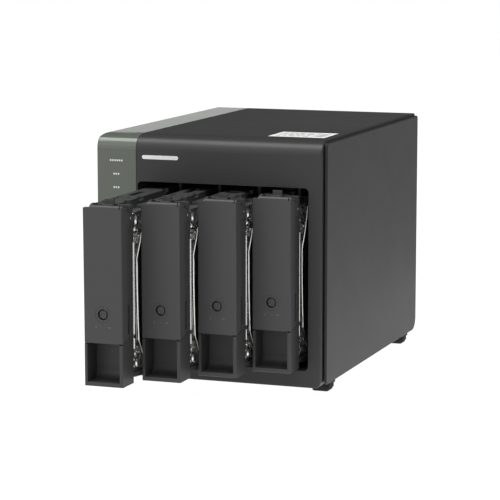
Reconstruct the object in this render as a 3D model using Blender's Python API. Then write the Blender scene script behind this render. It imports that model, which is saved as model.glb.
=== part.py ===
"""Desktop network attached storage with four drive trays pulled out in steps.

Written in millimetres and scaled to metres when a mesh is made.  The case's own
frame has X to the right, Y to the back from the front face and Z up from the
table.  A tray's frame has the same axes, from the middle of the tray's front.
"""
import math

import bmesh
import bpy

MM = 0.001

# Case
WIDTH = 160.0
DEPTH = 219.0
HEIGHT = 169.0
FRONT_LEFT = -78.0
FRONT_RIGHT = 77.5
INNER_HALF_WIDTH = 77.7
FRONT_BOTTOM = 6.8
FRONT_RADIUS = 9.0
FRONT_CORNER = 5.0
FRONT_SKIN = 3.0
BACKING_TOP = 156.0
SEAM_Y = 9.5
STRIP_LEFT = -80.0
STRIP_RIGHT = -52.0
STRIP_SKIN = 2.0
COVER_SKIN = 2.0
GAP = 0.3
PANEL_SKIN = 1.7
PANEL_FRONT = 3.7
PANEL_BOTTOM = 8.7
PANEL_TOP = 167.4
SHEET = 1.2
FLOOR_BOTTOM = 8.6
FLANGE_TOP = 24.0
REAR_FACE = DEPTH - 1.1
LEDGE_BOTTOM = 164.9
SKIRT_BOTTOM = 158.0

# Drive bay
BAY_LOW = (-50.9, 18.1)
BAY_HIGH = (68.5, 138.2)
BAY_RADIUS = 3.0
CAGE_LOW = (-52.4, 16.3)
CAGE_HIGH = (70.0, 140.0)
CAGE_WALL = 1.0
CAGE_FRONT = 4.8
CAGE_BACK = 172.0
RIB_HALF_WIDTH = 2.5
RIB_START = 22.5
RIB_END = 170.0
LOWER_RIB_TOP = 21.8
UPPER_RIB_LEFT = 3.7
UPPER_RIB_BOTTOM = 130.0

# Trays
TRAY_PITCH = 28.04
TRAY_HALF_WIDTH = 13.0
FIRST_TRAY_X = -34.05
PULL_OUT = (97.0, 70.6, 44.4, 19.8)
TRAY_BOTTOM = 19.8
TRAY_TOP = 133.5
BLOCK_DEPTH = 17.8
SPINE_HALF_WIDTH = 11.4
RAIL_HALF_WIDTH = 12.6
UPPER_RAIL_RIGHT = 3.2
SHELF_START = 46.0
RAIL_END = 170.0
POCKET_HALF_WIDTH = 10.95
POCKET_DEPTH = 15.0

# Lever on the front of each tray
LEVER_BOTTOM = 47.1
LEVER_TOP = 134.3
LEVER_PLATE = 2.0
LEVER_SIDE = 1.3
FLANGE_DEPTH = 13.3
PIVOT_Y = 8.5
PIVOT_Z = 125.5
HUB_RADIUS = 4.9
PIN_RADIUS = 1.5
HOOK_HALF_WIDTH = 3.1
HOOK_TOP = 136.4
LOCK_Z = 65.8
LOCK_RADIUS = 3.3

# Drive in each tray
DRIVE_FRONT = 20.7
DRIVE_BACK = 167.7
DRIVE_BOTTOM = 26.2
DRIVE_TOP = 127.8
DRIVE_LEFT = -12.4
LID_SKIN = 1.1

# Fan and the sockets on the back
FAN_X = 13.0
FAN_Z = 84.0
FAN_SIZE = 120.0
FAN_THICK = 25.0
FAN_BORE = 57.0
BLADE_RADIUS = 55.0
HUB_OF_FAN = 20.0
BLADES = 7
BOARD_FACE = -73.7
SOCKET_BACK = DEPTH - 0.7

# Buttons on the front strip
BUTTON_X = -65.0
POWER_Z = 112.0
POWER_RADIUS = 6.0
COPY_Z = 46.0
COPY_RADIUS = 3.2
FRONT_SOCKET_Z = 31.0
RESET_Z = 127.0


def clear_scene():
    for item in list(bpy.data.objects):
        bpy.data.objects.remove(item, do_unlink=True)


def material(name, colour, roughness, metallic=0.0):
    """Return a Principled material, made once for each name."""
    made = bpy.data.materials.get(name)
    if made is None:
        made = bpy.data.materials.new(name)
        made.use_nodes = True
        shader = made.node_tree.nodes["Principled BSDF"]
        shader.inputs["Base Color"].default_value = (*colour, 1.0)
        shader.inputs["Roughness"].default_value = roughness
        shader.inputs["Metallic"].default_value = metallic
    return made


# ---------------------------------------------------------------- outlines

def arc(centre, radius, start, end, steps):
    """Points from one angle to another, in degrees, both ends included."""
    points = []
    for step in range(steps + 1):
        angle = math.radians(start + (end - start) * step / steps)
        points.append((centre[0] + radius * math.cos(angle),
                       centre[1] + radius * math.sin(angle)))
    return points


def circle(centre, radius, sides):
    return arc(centre, radius, 0.0, 360.0, sides)[:-1]


def rounded_box(low, high, radii, steps=5):
    """A rectangle whose corner radii are given from the low corner, anticlockwise."""
    corners = (
        ((low[0] + radii[0], low[1] + radii[0]), 180.0),
        ((high[0] - radii[1], low[1] + radii[1]), 270.0),
        ((high[0] - radii[2], high[1] - radii[2]), 0.0),
        ((low[0] + radii[3], high[1] - radii[3]), 90.0),
    )
    points = []
    for (centre, start), radius in zip(corners, radii):
        points += arc(centre, radius, start, start + 90.0, steps)
    return points


# ------------------------------------------------------------------ solids

def to_space(axis, u, v, along):
    """Place an outline point (u, v) at a distance along the extrusion axis."""
    if axis == "X":
        return (along * MM, u * MM, v * MM)
    if axis == "Y":
        return (u * MM, along * MM, v * MM)
    return (u * MM, v * MM, along * MM)


def finish_mesh(name, made):
    """Turn a closed bmesh into an object with its faces pointing out."""
    bmesh.ops.recalc_face_normals(made, faces=made.faces)
    mesh = bpy.data.meshes.new(name)
    made.to_mesh(mesh)
    made.free()
    item = bpy.data.objects.new(name, mesh)
    bpy.context.scene.collection.objects.link(item)
    return item


def loft(name, rings, axis, places):
    """A solid through outlines of the same length, each at its own place."""
    made = bmesh.new()
    loops = []
    for ring, place in zip(rings, places):
        loops.append([made.verts.new(to_space(axis, u, v, place)) for u, v in ring])
    made.faces.new(loops[0])
    made.faces.new(loops[-1])
    for lower, upper in zip(loops, loops[1:]):
        for index in range(len(lower)):
            after = (index + 1) % len(lower)
            made.faces.new((lower[index], lower[after], upper[after], upper[index]))
    return finish_mesh(name, made)


def prism(name, outline, axis, start, end):
    return loft(name, (outline, outline), axis, (start, end))


def block(name, low, high):
    outline = ((low[0], low[1]), (high[0], low[1]), (high[0], high[1]), (low[0], high[1]))
    return prism(name, outline, "Z", low[2], high[2])


def rod(name, centre, radius, axis, start, end, sides=24):
    return prism(name, circle(centre, radius, sides), axis, start, end)


def gather(tools):
    """Put several solids into the mesh of the first and remove the others."""
    made = bmesh.new()
    for tool in tools:
        made.from_mesh(tool.data)
    made.to_mesh(tools[0].data)
    made.free()
    for tool in tools[1:]:
        bpy.data.meshes.remove(tool.data)
    return tools[0]


def combine(base, tools, operation):
    """Join, cut or intersect a solid with others, which are used up."""
    tool = gather(tools)
    step = base.modifiers.new(operation, "BOOLEAN")
    step.operation = operation
    step.solver = "EXACT"
    step.use_self = len(tools) > 1
    step.object = tool
    seen = base.evaluated_get(bpy.context.evaluated_depsgraph_get())
    result = bpy.data.meshes.new_from_object(seen)
    base.modifiers.clear()
    spent = base.data
    base.data = result
    bpy.data.meshes.remove(spent)
    bpy.data.meshes.remove(tool.data)
    return base


def join(base, *tools):
    return combine(base, tools, "UNION")


def cut(base, *tools):
    return combine(base, tools, "DIFFERENCE")


def clip(base, tool):
    return combine(base, (tool,), "INTERSECT")


def bevel_edges(item, width, chosen, segments=2):
    """Round the edges for which chosen(first, second) is true, in millimetres."""
    made = bmesh.new()
    made.from_mesh(item.data)
    edges = []
    for edge in made.edges:
        first, second = (tuple(value / MM for value in vert.co) for vert in edge.verts)
        if chosen(first, second):
            edges.append(edge)
    bmesh.ops.bevel(made, geom=edges, offset=width * MM, segments=segments,
                    profile=0.5, affect="EDGES", clamp_overlap=True)
    made.to_mesh(item.data)
    made.free()
    return item


# ------------------------------------------------------------ shared shapes

def case_outline():
    """Front view of the front and top skins, x against z."""
    return rounded_box((STRIP_LEFT, FRONT_BOTTOM), (FRONT_RIGHT, HEIGHT),
                       (FRONT_CORNER, FRONT_CORNER, 1.2, 1.2), 5)


def outer_curve():
    """The outer skin's side view, from the bottom of the front to the seam on top."""
    centre = (FRONT_RADIUS, HEIGHT - FRONT_RADIUS)
    return [(0.0, FRONT_BOTTOM)] + arc(centre, FRONT_RADIUS, 180.0, 90.0, 6)


def inner_curve(skin):
    """The inside of the same skin, from the seam back down to the bottom."""
    centre = (FRONT_RADIUS, HEIGHT - FRONT_RADIUS)
    return arc(centre, FRONT_RADIUS - skin, 90.0, 180.0, 6) + [(skin, FRONT_BOTTOM)]


def strip_holes(grow):
    """Cutters for the buttons and the socket on the strip, grow wider all round."""
    front, back = -1.0, 6.0
    socket_low = (BUTTON_X - 6.6 - grow, FRONT_SOCKET_Z - 2.9 - grow)
    socket_high = (BUTTON_X + 6.6 + grow, FRONT_SOCKET_Z + 2.9 + grow)
    corner = 0.6
    return (
        rod("power_hole", (BUTTON_X, POWER_Z), POWER_RADIUS + grow, "Y", front, back, 32),
        rod("copy_hole", (BUTTON_X, COPY_Z), COPY_RADIUS + grow, "Y", front, back, 24),
        prism("socket_hole", rounded_box(socket_low, socket_high, (corner,) * 4, 2),
              "Y", front, back),
    )


# -------------------------------------------------------------- case pieces

def make_front_bezel():
    shell = prism("shell", outer_curve() + [(SEAM_Y, HEIGHT), (SEAM_Y, HEIGHT - FRONT_SKIN)]
                  + inner_curve(FRONT_SKIN), "X", STRIP_RIGHT + GAP, FRONT_RIGHT)
    cheek = prism("cheek", outer_curve() + [(SEAM_Y, HEIGHT), (SEAM_Y, FRONT_BOTTOM)],
                  "X", FRONT_RIGHT - 2.0, FRONT_RIGHT)
    backing_front = STRIP_SKIN + GAP
    backing = block("backing", (FRONT_LEFT, backing_front, FRONT_BOTTOM),
                    (STRIP_RIGHT + 0.8, backing_front + 2.0, BACKING_TOP))
    left_cheek = block("left_cheek", (FRONT_LEFT, backing_front, FRONT_BOTTOM),
                       (FRONT_LEFT + 2.0, SEAM_Y, BACKING_TOP))
    lip = block("lip", (FRONT_LEFT, backing_front, FRONT_BOTTOM),
                (FRONT_RIGHT, SEAM_Y, FLOOR_BOTTOM - GAP))
    bezel = join(shell, cheek, backing, left_cheek, lip)
    clip(bezel, prism("case_outline", case_outline(), "Y", -5.0, SEAM_Y + 5.0))
    opening = prism("opening", rounded_box(BAY_LOW, BAY_HIGH, (BAY_RADIUS,) * 4),
                    "Y", -1.0, 8.0)
    return cut(bezel, opening, *strip_holes(0.4))


def make_accent_strip():
    rear_corner = arc((DEPTH - 1.5, HEIGHT - 1.5), 1.5, 90.0, 0.0, 3)
    outline = (outer_curve() + rear_corner + [(DEPTH, HEIGHT - STRIP_SKIN)]
               + inner_curve(STRIP_SKIN))
    strip = prism("strip", outline, "X", STRIP_LEFT, STRIP_RIGHT)
    clip(strip, prism("case_outline", case_outline(), "Y", -5.0, DEPTH + 5.0))
    return cut(strip, *strip_holes(GAP))


def make_top_cover():
    """One folded section: the top, a ledge under the strip and a skirt on each side."""
    corner = 1.2
    ledge_top = HEIGHT - STRIP_SKIN - GAP
    under = HEIGHT - COVER_SKIN
    outline = [
        (STRIP_RIGHT + GAP, HEIGHT),
        *arc((FRONT_RIGHT - corner, HEIGHT - corner), corner, 90.0, 0.0, 4),
        (FRONT_RIGHT, SKIRT_BOTTOM),
        (FRONT_RIGHT - COVER_SKIN, SKIRT_BOTTOM),
        (FRONT_RIGHT - COVER_SKIN, under),
        (STRIP_RIGHT + 1.8, under),
        (STRIP_RIGHT + 1.8, LEDGE_BOTTOM),
        (FRONT_LEFT + COVER_SKIN, LEDGE_BOTTOM),
        (FRONT_LEFT + COVER_SKIN, SKIRT_BOTTOM),
        (FRONT_LEFT, SKIRT_BOTTOM),
        (FRONT_LEFT, ledge_top),
        (STRIP_RIGHT + GAP, ledge_top),
    ]
    cover = prism("cover", outline, "Y", SEAM_Y + GAP, DEPTH)
    return bevel_edges(cover, corner, lambda a, b: min(a[1], b[1]) > DEPTH - 0.1
                       and min(a[2], b[2]) > HEIGHT - 0.1, 3)


def make_side_panel(side, top, front_radius):
    """A flat shell whose outer edge is rounded; side is 1 on the right, -1 on the left."""
    outline = rounded_box((PANEL_FRONT, PANEL_BOTTOM), (DEPTH, top),
                          (3.5, 9.0, 2.0, front_radius), 5)
    outer = side * WIDTH / 2.0
    inner = side * (WIDTH / 2.0 - PANEL_SKIN)
    panel = prism("panel", outline, "X", inner, outer)
    return bevel_edges(panel, 0.8, lambda a, b: min(abs(a[0]), abs(b[0])) > WIDTH / 2.0 - 0.1, 2)


def make_base_pan():
    outer = INNER_HALF_WIDTH
    inner = outer - SHEET
    floor_top = FLOOR_BOTTOM + SHEET
    outline = (
        (-outer, FLOOR_BOTTOM), (outer, FLOOR_BOTTOM), (outer, FLANGE_TOP),
        (inner, FLANGE_TOP), (inner, floor_top), (-inner, floor_top),
        (-inner, FLANGE_TOP), (-outer, FLANGE_TOP),
    )
    pan = prism("pan", outline, "Y", SEAM_Y + GAP, REAR_FACE - SHEET - GAP)
    slots = []
    for column in range(5):
        x = (column - 2) * 22.0
        shape = rounded_box((x - 6.0, 90.0), (x + 6.0, 94.0), (1.9,) * 4, 3)
        slots.append(prism("vent", shape, "Z", FLOOR_BOTTOM - 2.0, floor_top + 2.0))
    return cut(pan, *slots)


def make_drive_cage():
    """A sheet-metal sleeve with a guide rib above and below each tray."""
    cage = block("cage", (CAGE_LOW[0], CAGE_FRONT, CAGE_LOW[1]),
                 (CAGE_HIGH[0], CAGE_BACK, CAGE_HIGH[1]))
    inside_low = (CAGE_LOW[0] + CAGE_WALL, CAGE_FRONT - 1.0, CAGE_LOW[1] + CAGE_WALL)
    inside_high = (CAGE_HIGH[0] - CAGE_WALL, CAGE_BACK + 1.0, CAGE_HIGH[1] - CAGE_WALL)
    cut(cage, block("inside", inside_low, inside_high))
    leg_bottom = FLOOR_BOTTOM + SHEET + GAP
    parts = []
    for left in (CAGE_LOW[0], CAGE_HIGH[0] - CAGE_WALL):
        parts.append(block("leg", (left, 14.0, leg_bottom),
                           (left + CAGE_WALL, CAGE_BACK - 4.0, CAGE_LOW[1] + 0.5)))
    for number in range(len(PULL_OUT)):
        x = FIRST_TRAY_X + number * TRAY_PITCH
        parts.append(block("rib", (x - RIB_HALF_WIDTH, RIB_START, CAGE_LOW[1] + 0.5),
                           (x + RIB_HALF_WIDTH, RIB_END, LOWER_RIB_TOP)))
        parts.append(block("rib", (x + UPPER_RIB_LEFT, RIB_START, UPPER_RIB_BOTTOM),
                           (x + UPPER_RIB_LEFT + 2.0, RIB_END, CAGE_HIGH[1] - 0.5)))
    return join(cage, *parts)


def make_foot():
    """A stepped rubber foot about its own middle: a wider base over a smaller pad."""
    pad = rounded_box((-5.7, -5.7), (5.7, 5.7), (1.5,) * 4, 3)
    base = rounded_box((-6.5, -6.5), (6.5, 6.5), (1.8,) * 4, 3)
    lower = loft("pad", (pad, base, base), "Z", (0.0, 1.0, 5.0))
    upper = block("base", (-7.0, -7.0, 4.5), (7.0, 7.0, FLOOR_BOTTOM - GAP))
    return join(lower, upper)


def arc_slot(radius, width, middle, span):
    """A grille slot: a ring sector about the fan's axis."""
    steps = max(3, round(span / 12.0))
    centre = (FAN_X, FAN_Z)
    return (arc(centre, radius + width / 2.0, middle - span / 2.0, middle + span / 2.0, steps)
            + arc(centre, radius - width / 2.0, middle + span / 2.0, middle - span / 2.0, steps))


def rear_sockets():
    """Every socket on the back as its name, low corner and high corner, x against z."""
    return (
        ("dc_jack", (BOARD_FACE, 21.5), (BOARD_FACE + 11.0, 32.0)),
        ("rear_usb_port", (BOARD_FACE, 40.0), (BOARD_FACE + 15.8, 53.4)),
        ("network_jack_1", (BOARD_FACE, 61.0), (BOARD_FACE + 13.6, 77.2)),
        ("network_jack_2", (BOARD_FACE, 81.0), (BOARD_FACE + 13.6, 97.2)),
        ("sfp_cage", (BOARD_FACE, 102.0), (BOARD_FACE + 10.2, 117.0)),
    )


def make_rear_panel():
    outer = INNER_HALF_WIDTH
    front = REAR_FACE - SHEET
    shoulder = SKIRT_BOTTOM - GAP
    neck = FRONT_RIGHT - COVER_SKIN - GAP
    outline = (arc((4.0 - outer, PANEL_BOTTOM + 4.0), 4.0, 180.0, 270.0, 3)
               + arc((outer - 4.0, PANEL_BOTTOM + 4.0), 4.0, 270.0, 360.0, 3)
               + [(outer, shoulder), (neck, shoulder), (neck, LEDGE_BOTTOM - GAP),
                  (-neck, LEDGE_BOTTOM - GAP), (-neck, shoulder), (-outer, shoulder)])
    panel = prism("rear", outline, "Y", front, REAR_FACE)
    cutters = []
    for radius in (24.0, 32.0, 40.0, 48.0, 55.0):
        for quarter in range(4):
            gap = math.degrees(4.0 / radius)
            shape = arc_slot(radius, 5.0, 45.0 + 90.0 * quarter, 90.0 - gap)
            cutters.append(prism("slot", shape, "Y", front - 1.0, REAR_FACE + 1.0))
    for _, low, high in rear_sockets():
        cutters.append(block("hole", (low[0] - GAP, front - 1.0, low[1] - GAP),
                             (high[0] + GAP, REAR_FACE + 1.0, high[1] + GAP)))
    cutters.append(rod("hole", (BUTTON_X, RESET_Z), 1.6, "Y", front - 1.0, REAR_FACE + 1.0, 16))
    return cut(panel, *cutters)


# ---------------------------------------------------------------- fan pieces

def make_fan_frame():
    half = FAN_SIZE / 2.0
    back = REAR_FACE - SHEET - GAP
    front = back - FAN_THICK
    body = prism("body", rounded_box((FAN_X - half, FAN_Z - half), (FAN_X + half, FAN_Z + half),
                                     (5.0,) * 4, 3), "Y", front, back)
    cut(body, rod("bore", (FAN_X, FAN_Z), FAN_BORE, "Y", front - 1.0, back + 1.0, 48))
    struts = [block("strut", (FAN_X - half + 2.0, back - 3.0, FAN_Z - 1.5),
                    (FAN_X + half - 2.0, back, FAN_Z + 1.5)),
              block("strut", (FAN_X - 1.5, back - 3.0, FAN_Z - half + 2.0),
                    (FAN_X + 1.5, back, FAN_Z + half - 2.0))]
    hub = rod("hub", (FAN_X, FAN_Z), HUB_OF_FAN - 1.0, "Y", back - 3.5, back - 0.2, 32)
    return join(body, *struts, hub)


def make_fan_rotor():
    """Hub and curved blades about the fan's axis, from its front face backwards."""
    back = FAN_THICK - 4.5
    rotor = rod("rotor", (0.0, 0.0), HUB_OF_FAN, "Y", 1.5, back, 32)
    blades = []
    for number in range(BLADES):
        made = bmesh.new()
        loops = []
        for step in range(5):
            reach = step / 4.0
            radius = HUB_OF_FAN - 1.5 + reach * (BLADE_RADIUS - HUB_OF_FAN + 1.5)
            turn = 2.0 * math.pi * number / BLADES + 0.45 * reach
            span = 0.36 - 0.08 * reach
            front, rear = 4.0 + 1.5 * reach, back - 1.0
            ring = []
            for swing, place in ((-span, front), (span, rear), (span, rear - 1.8),
                                 (-span, front - 1.8)):
                angle = turn + swing
                ring.append(made.verts.new((radius * math.cos(angle) * MM, place * MM,
                                            radius * math.sin(angle) * MM)))
            loops.append(ring)
        made.faces.new(loops[0])
        made.faces.new(loops[-1])
        for lower, upper in zip(loops, loops[1:]):
            for index in range(4):
                after = (index + 1) % 4
                made.faces.new((lower[index], lower[after], upper[after], upper[index]))
        bmesh.ops.triangulate(made, faces=made.faces)
        blades.append(finish_mesh("blade", made))
    return join(rotor, *blades)


# --------------------------------------------------- boards and their sockets

def make_backplane():
    board = block("board", (BAY_LOW[0], CAGE_BACK + GAP, 20.0),
                  (BAY_HIGH[0], CAGE_BACK + GAP + 1.6, 136.0))
    slots = []
    for number in range(len(PULL_OUT)):
        x = FIRST_TRAY_X + number * TRAY_PITCH
        slots.append(block("slot", (x - 3.0, CAGE_BACK - 1.0, 72.0),
                           (x + 9.0, CAGE_BACK + 4.0, 128.0)))
    return cut(board, *slots)


def make_sata_connector(x):
    """A slotted plug that reaches forward into the notch in a drive's back."""
    plug = block("plug", (x - 9.9, 162.0, 32.0), (x - 6.1, CAGE_BACK, 64.0))
    slot = block("slot", (x - 8.6, 161.0, 34.0), (x - 7.6, 167.0, 62.0))
    return cut(plug, slot)


def make_main_board():
    return block("board", (BOARD_FACE - GAP - 1.6, 60.0, 14.0),
                 (BOARD_FACE - GAP, 214.0, 150.0))


def make_front_board():
    return block("board", (-74.0, 14.0, 20.0), (-55.0, 15.6, 150.0))


def make_heat_sink():
    low, high = (BOARD_FACE, 100.0, 68.0), (BOARD_FACE + 3.0, 144.0, 112.0)
    fins = []
    for number in range(7):
        y = low[1] + 0.2 + number * 7.1
        fins.append(block("fin", (high[0] - 0.5, y, low[2] + 0.2),
                          (high[0] + 12.0, y + 1.2, high[2] - 0.2)))
    return join(block("plate", low, high), *fins)


def make_memory_module():
    socket = block("socket", (BOARD_FACE, 90.0, 24.0), (BOARD_FACE + 7.0, 162.0, 30.5))
    card = block("card", (BOARD_FACE + 4.0, 92.2, 29.5), (BOARD_FACE + 5.2, 159.8, 58.0))
    chips = []
    for number in range(4):
        y = 96.0 + number * 16.0
        chips.append(block("chip", (BOARD_FACE + 5.0, y, 37.0),
                           (BOARD_FACE + 6.2, y + 11.0, 49.0)))
    return join(socket, card, *chips)


def make_rear_socket(name, low, high):
    """A socket's housing, hollowed from the back, with what it needs inside."""
    depth = {"dc_jack": 14.0, "rear_usb_port": 17.5, "sfp_cage": 46.0}.get(name, 21.0)
    front = SOCKET_BACK - depth
    housing = block("housing", (low[0], front, low[1]), (high[0], SOCKET_BACK, high[1]))
    middle = ((low[0] + high[0]) / 2.0, (low[1] + high[1]) / 2.0)
    past = SOCKET_BACK + 1.0
    if name == "dc_jack":
        cut(housing, rod("hole", middle, 3.2, "Y", SOCKET_BACK - 10.0, past, 12))
        return join(housing, rod("pin", middle, 0.9, "Y", SOCKET_BACK - 11.0,
                                 SOCKET_BACK - 0.6, 6))
    if name == "rear_usb_port":
        for side in (-1.0, 1.0):
            x = middle[0] + side * 3.95
            cut(housing, block("hole", (x - 2.7, SOCKET_BACK - 12.0, low[1] + 0.6),
                               (x + 2.7, past, high[1] - 0.6)))
            tongue_x = x - 2.1
            join(housing, block("tongue", (tongue_x, SOCKET_BACK - 13.0, low[1] + 1.2),
                                (tongue_x + 1.8, SOCKET_BACK - 1.5, high[1] - 1.2)))
        return housing
    if name == "sfp_cage":
        return cut(housing, block("hole", (low[0] + 0.6, SOCKET_BACK - 42.0, low[1] + 0.6),
                                  (high[0] - 0.6, past, high[1] - 0.6)))
    cut(housing, block("hole", (low[0] + 3.6, SOCKET_BACK - 13.0, low[1] + 2.2),
                       (high[0] - 2.0, past, high[1] - 2.2)))
    return cut(housing, block("latch_hole", (low[0] + 1.0, SOCKET_BACK - 9.0, middle[1] - 2.6),
                              (low[0] + 4.0, past, middle[1] + 2.6)))


def make_front_usb_port():
    low, high = (BUTTON_X - 6.6, FRONT_SOCKET_Z - 2.9), (BUTTON_X + 6.6, FRONT_SOCKET_Z + 2.9)
    shell = block("shell", (low[0], 0.2, low[1]), (high[0], 14.0 - GAP, high[1]))
    cut(shell, block("hole", (low[0] + 0.5, -1.0, low[1] + 0.5),
                     (high[0] - 0.5, 11.0, high[1] - 0.5)))
    tongue = block("tongue", (low[0] + 1.2, 1.6, FRONT_SOCKET_Z + 0.2),
                   (high[0] - 1.2, 12.0, FRONT_SOCKET_Z + 1.9))
    return join(shell, tongue)


def make_button(radius, stem_length):
    """A round cap with a narrower stem behind it, its face at the origin."""
    rim = 0.5
    cap = loft("cap", (circle((0.0, 0.0), radius - rim, 32), circle((0.0, 0.0), radius, 32),
                       circle((0.0, 0.0), radius, 32)), "Y", (0.0, rim, 3.0))
    return join(cap, rod("stem", (0.0, 0.0), radius * 0.45, "Y", 2.5, stem_length, 16))


# ---------------------------------------------------------------- tray pieces

def pocket_outline():
    """Side view of the finger pocket: open in front, curved up at the back."""
    floor, ceiling = 22.5, 52.0
    return ([(-1.0, floor)] + arc((POCKET_DEPTH - 6.0, floor + 6.0), 6.0, 270.0, 360.0, 4)
            + [(POCKET_DEPTH, ceiling), (-1.0, ceiling)])


def make_tray_frame():
    """Front block with its finger pocket, two rails and a bar behind the drive."""
    half = TRAY_HALF_WIDTH
    sill = block("sill", (-half, 0.0, TRAY_BOTTOM), (half, BLOCK_DEPTH, 46.6))
    bevel_edges(sill, 0.7, lambda a, b: max(a[1], b[1]) < 0.1, 2)
    back_plate = block("back_plate", (-half, FLANGE_DEPTH + 0.4, 46.0),
                       (half, BLOCK_DEPTH, TRAY_TOP))
    spine_front = LEVER_PLATE + 0.4
    crown = PIVOT_Y - spine_front
    spine_outline = ([(FLANGE_DEPTH + 1.0, 46.0), (spine_front, 46.0)]
                     + arc((PIVOT_Y, PIVOT_Z), crown, 180.0, 90.0, 5)
                     + [(FLANGE_DEPTH + 1.0, PIVOT_Z + crown)])
    spine = prism("spine", spine_outline, "X", -SPINE_HALF_WIDTH, SPINE_HALF_WIDTH)
    back = BLOCK_DEPTH - 1.0
    over = DRIVE_TOP + GAP
    lower_rail = block("rail", (-RAIL_HALF_WIDTH, back, LOWER_RIB_TOP + GAP),
                       (RAIL_HALF_WIDTH, RAIL_END, DRIVE_BOTTOM - GAP))
    upper_rail = block("rail", (-RAIL_HALF_WIDTH, back, over),
                       (UPPER_RAIL_RIGHT, RAIL_END, TRAY_TOP))
    shelf = block("shelf", (UPPER_RAIL_RIGHT - 1.0, SHELF_START, over),
                  (RAIL_HALF_WIDTH, RAIL_END, over + 1.4))
    bar = block("bar", (8.5, DRIVE_BACK + 0.4, DRIVE_BOTTOM - 2.0),
                (RAIL_HALF_WIDTH - 0.2, RAIL_END - 0.2, over + 1.0))
    frame = join(sill, back_plate, spine, lower_rail, upper_rail, shelf, bar)
    hook_room = (arc((PIVOT_Y, PIVOT_Z), 13.2, -10.0, 112.0, 8)
                 + arc((PIVOT_Y, PIVOT_Z), 6.6, 112.0, -10.0, 5))
    hook_half = HOOK_HALF_WIDTH + 0.5
    return cut(
        frame,
        prism("pocket", pocket_outline(), "X", -POCKET_HALF_WIDTH, POCKET_HALF_WIDTH),
        prism("slit", rounded_box((-8.5, 59.0), (-4.0, 82.0), (2.2,) * 4, 3),
              "Z", TRAY_TOP - 3.0, TRAY_TOP + 1.0),
        prism("hook_room", hook_room, "X", -hook_half, hook_half),
        rod("pin_hole", (PIVOT_Y, PIVOT_Z), PIN_RADIUS + 0.2, "X", -half - 1.0, half + 1.0, 16),
        rod("lock_hole", (0.0, LOCK_Z), LOCK_RADIUS + 1.3, "Y", 0.0, 10.0, 24),
    )


def lever_side_outline():
    """Side view of a lever's flange, from its lower front corner upwards."""
    return ([(0.0, LEVER_BOTTOM), (FLANGE_DEPTH, LEVER_BOTTOM + 2.6), (FLANGE_DEPTH, PIVOT_Z)]
            + arc((PIVOT_Y, PIVOT_Z), HUB_RADIUS, 0.0, 90.0, 6)
            + [(4.0, LEVER_TOP - 1.8), (4.0, LEVER_TOP)]
            + arc((1.5, LEVER_TOP - 1.5), 1.5, 90.0, 180.0, 3))


def make_lever():
    """Front plate, two flanges, a top lip and a hook, in the tray's frame."""
    half = TRAY_HALF_WIDTH
    body = prism("body", lever_side_outline(), "X", -half, half)
    hollow_top = LEVER_TOP - 1.8
    hollow = block("hollow", (-half + LEVER_SIDE, LEVER_PLATE, LEVER_BOTTOM - 5.0),
                   (half - LEVER_SIDE, FLANGE_DEPTH + 5.0, hollow_top))
    cut(body, hollow)
    web = block("web", (-HOOK_HALF_WIDTH, 3.0, hollow_top),
                (HOOK_HALF_WIDTH, 13.5, LEVER_TOP - 0.1))
    hook = block("hook", (-HOOK_HALF_WIDTH, 11.4, hollow_top + 0.2),
                 (HOOK_HALF_WIDTH, 13.4, HOOK_TOP))
    join(body, web, hook)
    return cut(
        body,
        rod("pin_hole", (PIVOT_Y, PIVOT_Z), PIN_RADIUS + 0.2, "X", -half - 1.0, half + 1.0, 16),
        rod("lock_hole", (0.0, LOCK_Z), LOCK_RADIUS + 0.4, "Y", -1.0, LEVER_PLATE + 1.0, 32),
    )


def make_key_lock():
    """A barrel with a square key socket, its axis along Y through the origin."""
    barrel = rod("barrel", (0.0, 0.0), LOCK_RADIUS, "Y", 0.7, 6.5, 32)
    key = prism("key", rounded_box((-1.4, -1.4), (1.4, 1.4), (0.5,) * 4, 2), "Y", 0.0, 2.2)
    return cut(barrel, key)


def make_drive_casting():
    right = TRAY_HALF_WIDTH - LID_SKIN - GAP
    outline = rounded_box((DRIVE_FRONT, DRIVE_BOTTOM), (DRIVE_BACK, DRIVE_TOP), (2.0,) * 4, 3)
    casting = prism("casting", outline, "X", DRIVE_LEFT, right)
    return cut(
        casting,
        block("board_room", (DRIVE_LEFT - 1.0, 70.0, 30.0), (DRIVE_LEFT + 2.2, 160.0, 124.0)),
        block("socket_room", (DRIVE_LEFT - 1.0, 160.6, 30.0), (-5.4, DRIVE_BACK + 1.0, 66.0)),
        rod("motor_room", (76.0, 77.0), 30.0, "X", DRIVE_LEFT - 1.0, DRIVE_LEFT + 1.0, 32),
    )


def lid_outline():
    """The lid is inset from the casting, with its front edge bowed and cut at the ends."""
    front = DRIVE_FRONT + 3.8
    bow = []
    for step in range(7):
        z = 42.0 + 10.0 * step
        bow.append((front + 0.0014 * (z - 76.0) ** 2, z))
    lower = [(front + 9.0, 29.5), (front + 4.5, 34.0)]
    upper = [(front + 3.2, 108.0), (front + 6.0, 118.0), (front + 9.0, 124.5)]
    back = DRIVE_BACK - 3.0
    return (lower + bow + upper
            + [(back - 3.0, 124.5), (back, 121.5), (back, 32.5), (back - 3.0, 29.5)])


def make_drive_lid():
    return prism("lid", lid_outline(), "X", TRAY_HALF_WIDTH - LID_SKIN, TRAY_HALF_WIDTH)


def make_drive_board():
    board = block("board", (DRIVE_LEFT + 0.2, 70.4, 30.4), (DRIVE_LEFT + 1.8, 159.6, 123.6))
    return cut(board, rod("motor_gap", (76.0, 77.0), 20.0, "X", DRIVE_LEFT - 1.0,
                          DRIVE_LEFT + 3.0, 32))


# ------------------------------------------------------------------ assembly

def empty(name, parent, place):
    item = bpy.data.objects.new(name, None)
    bpy.context.scene.collection.objects.link(item)
    item.parent = parent
    item.location = [value * MM for value in place]
    return item


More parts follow.
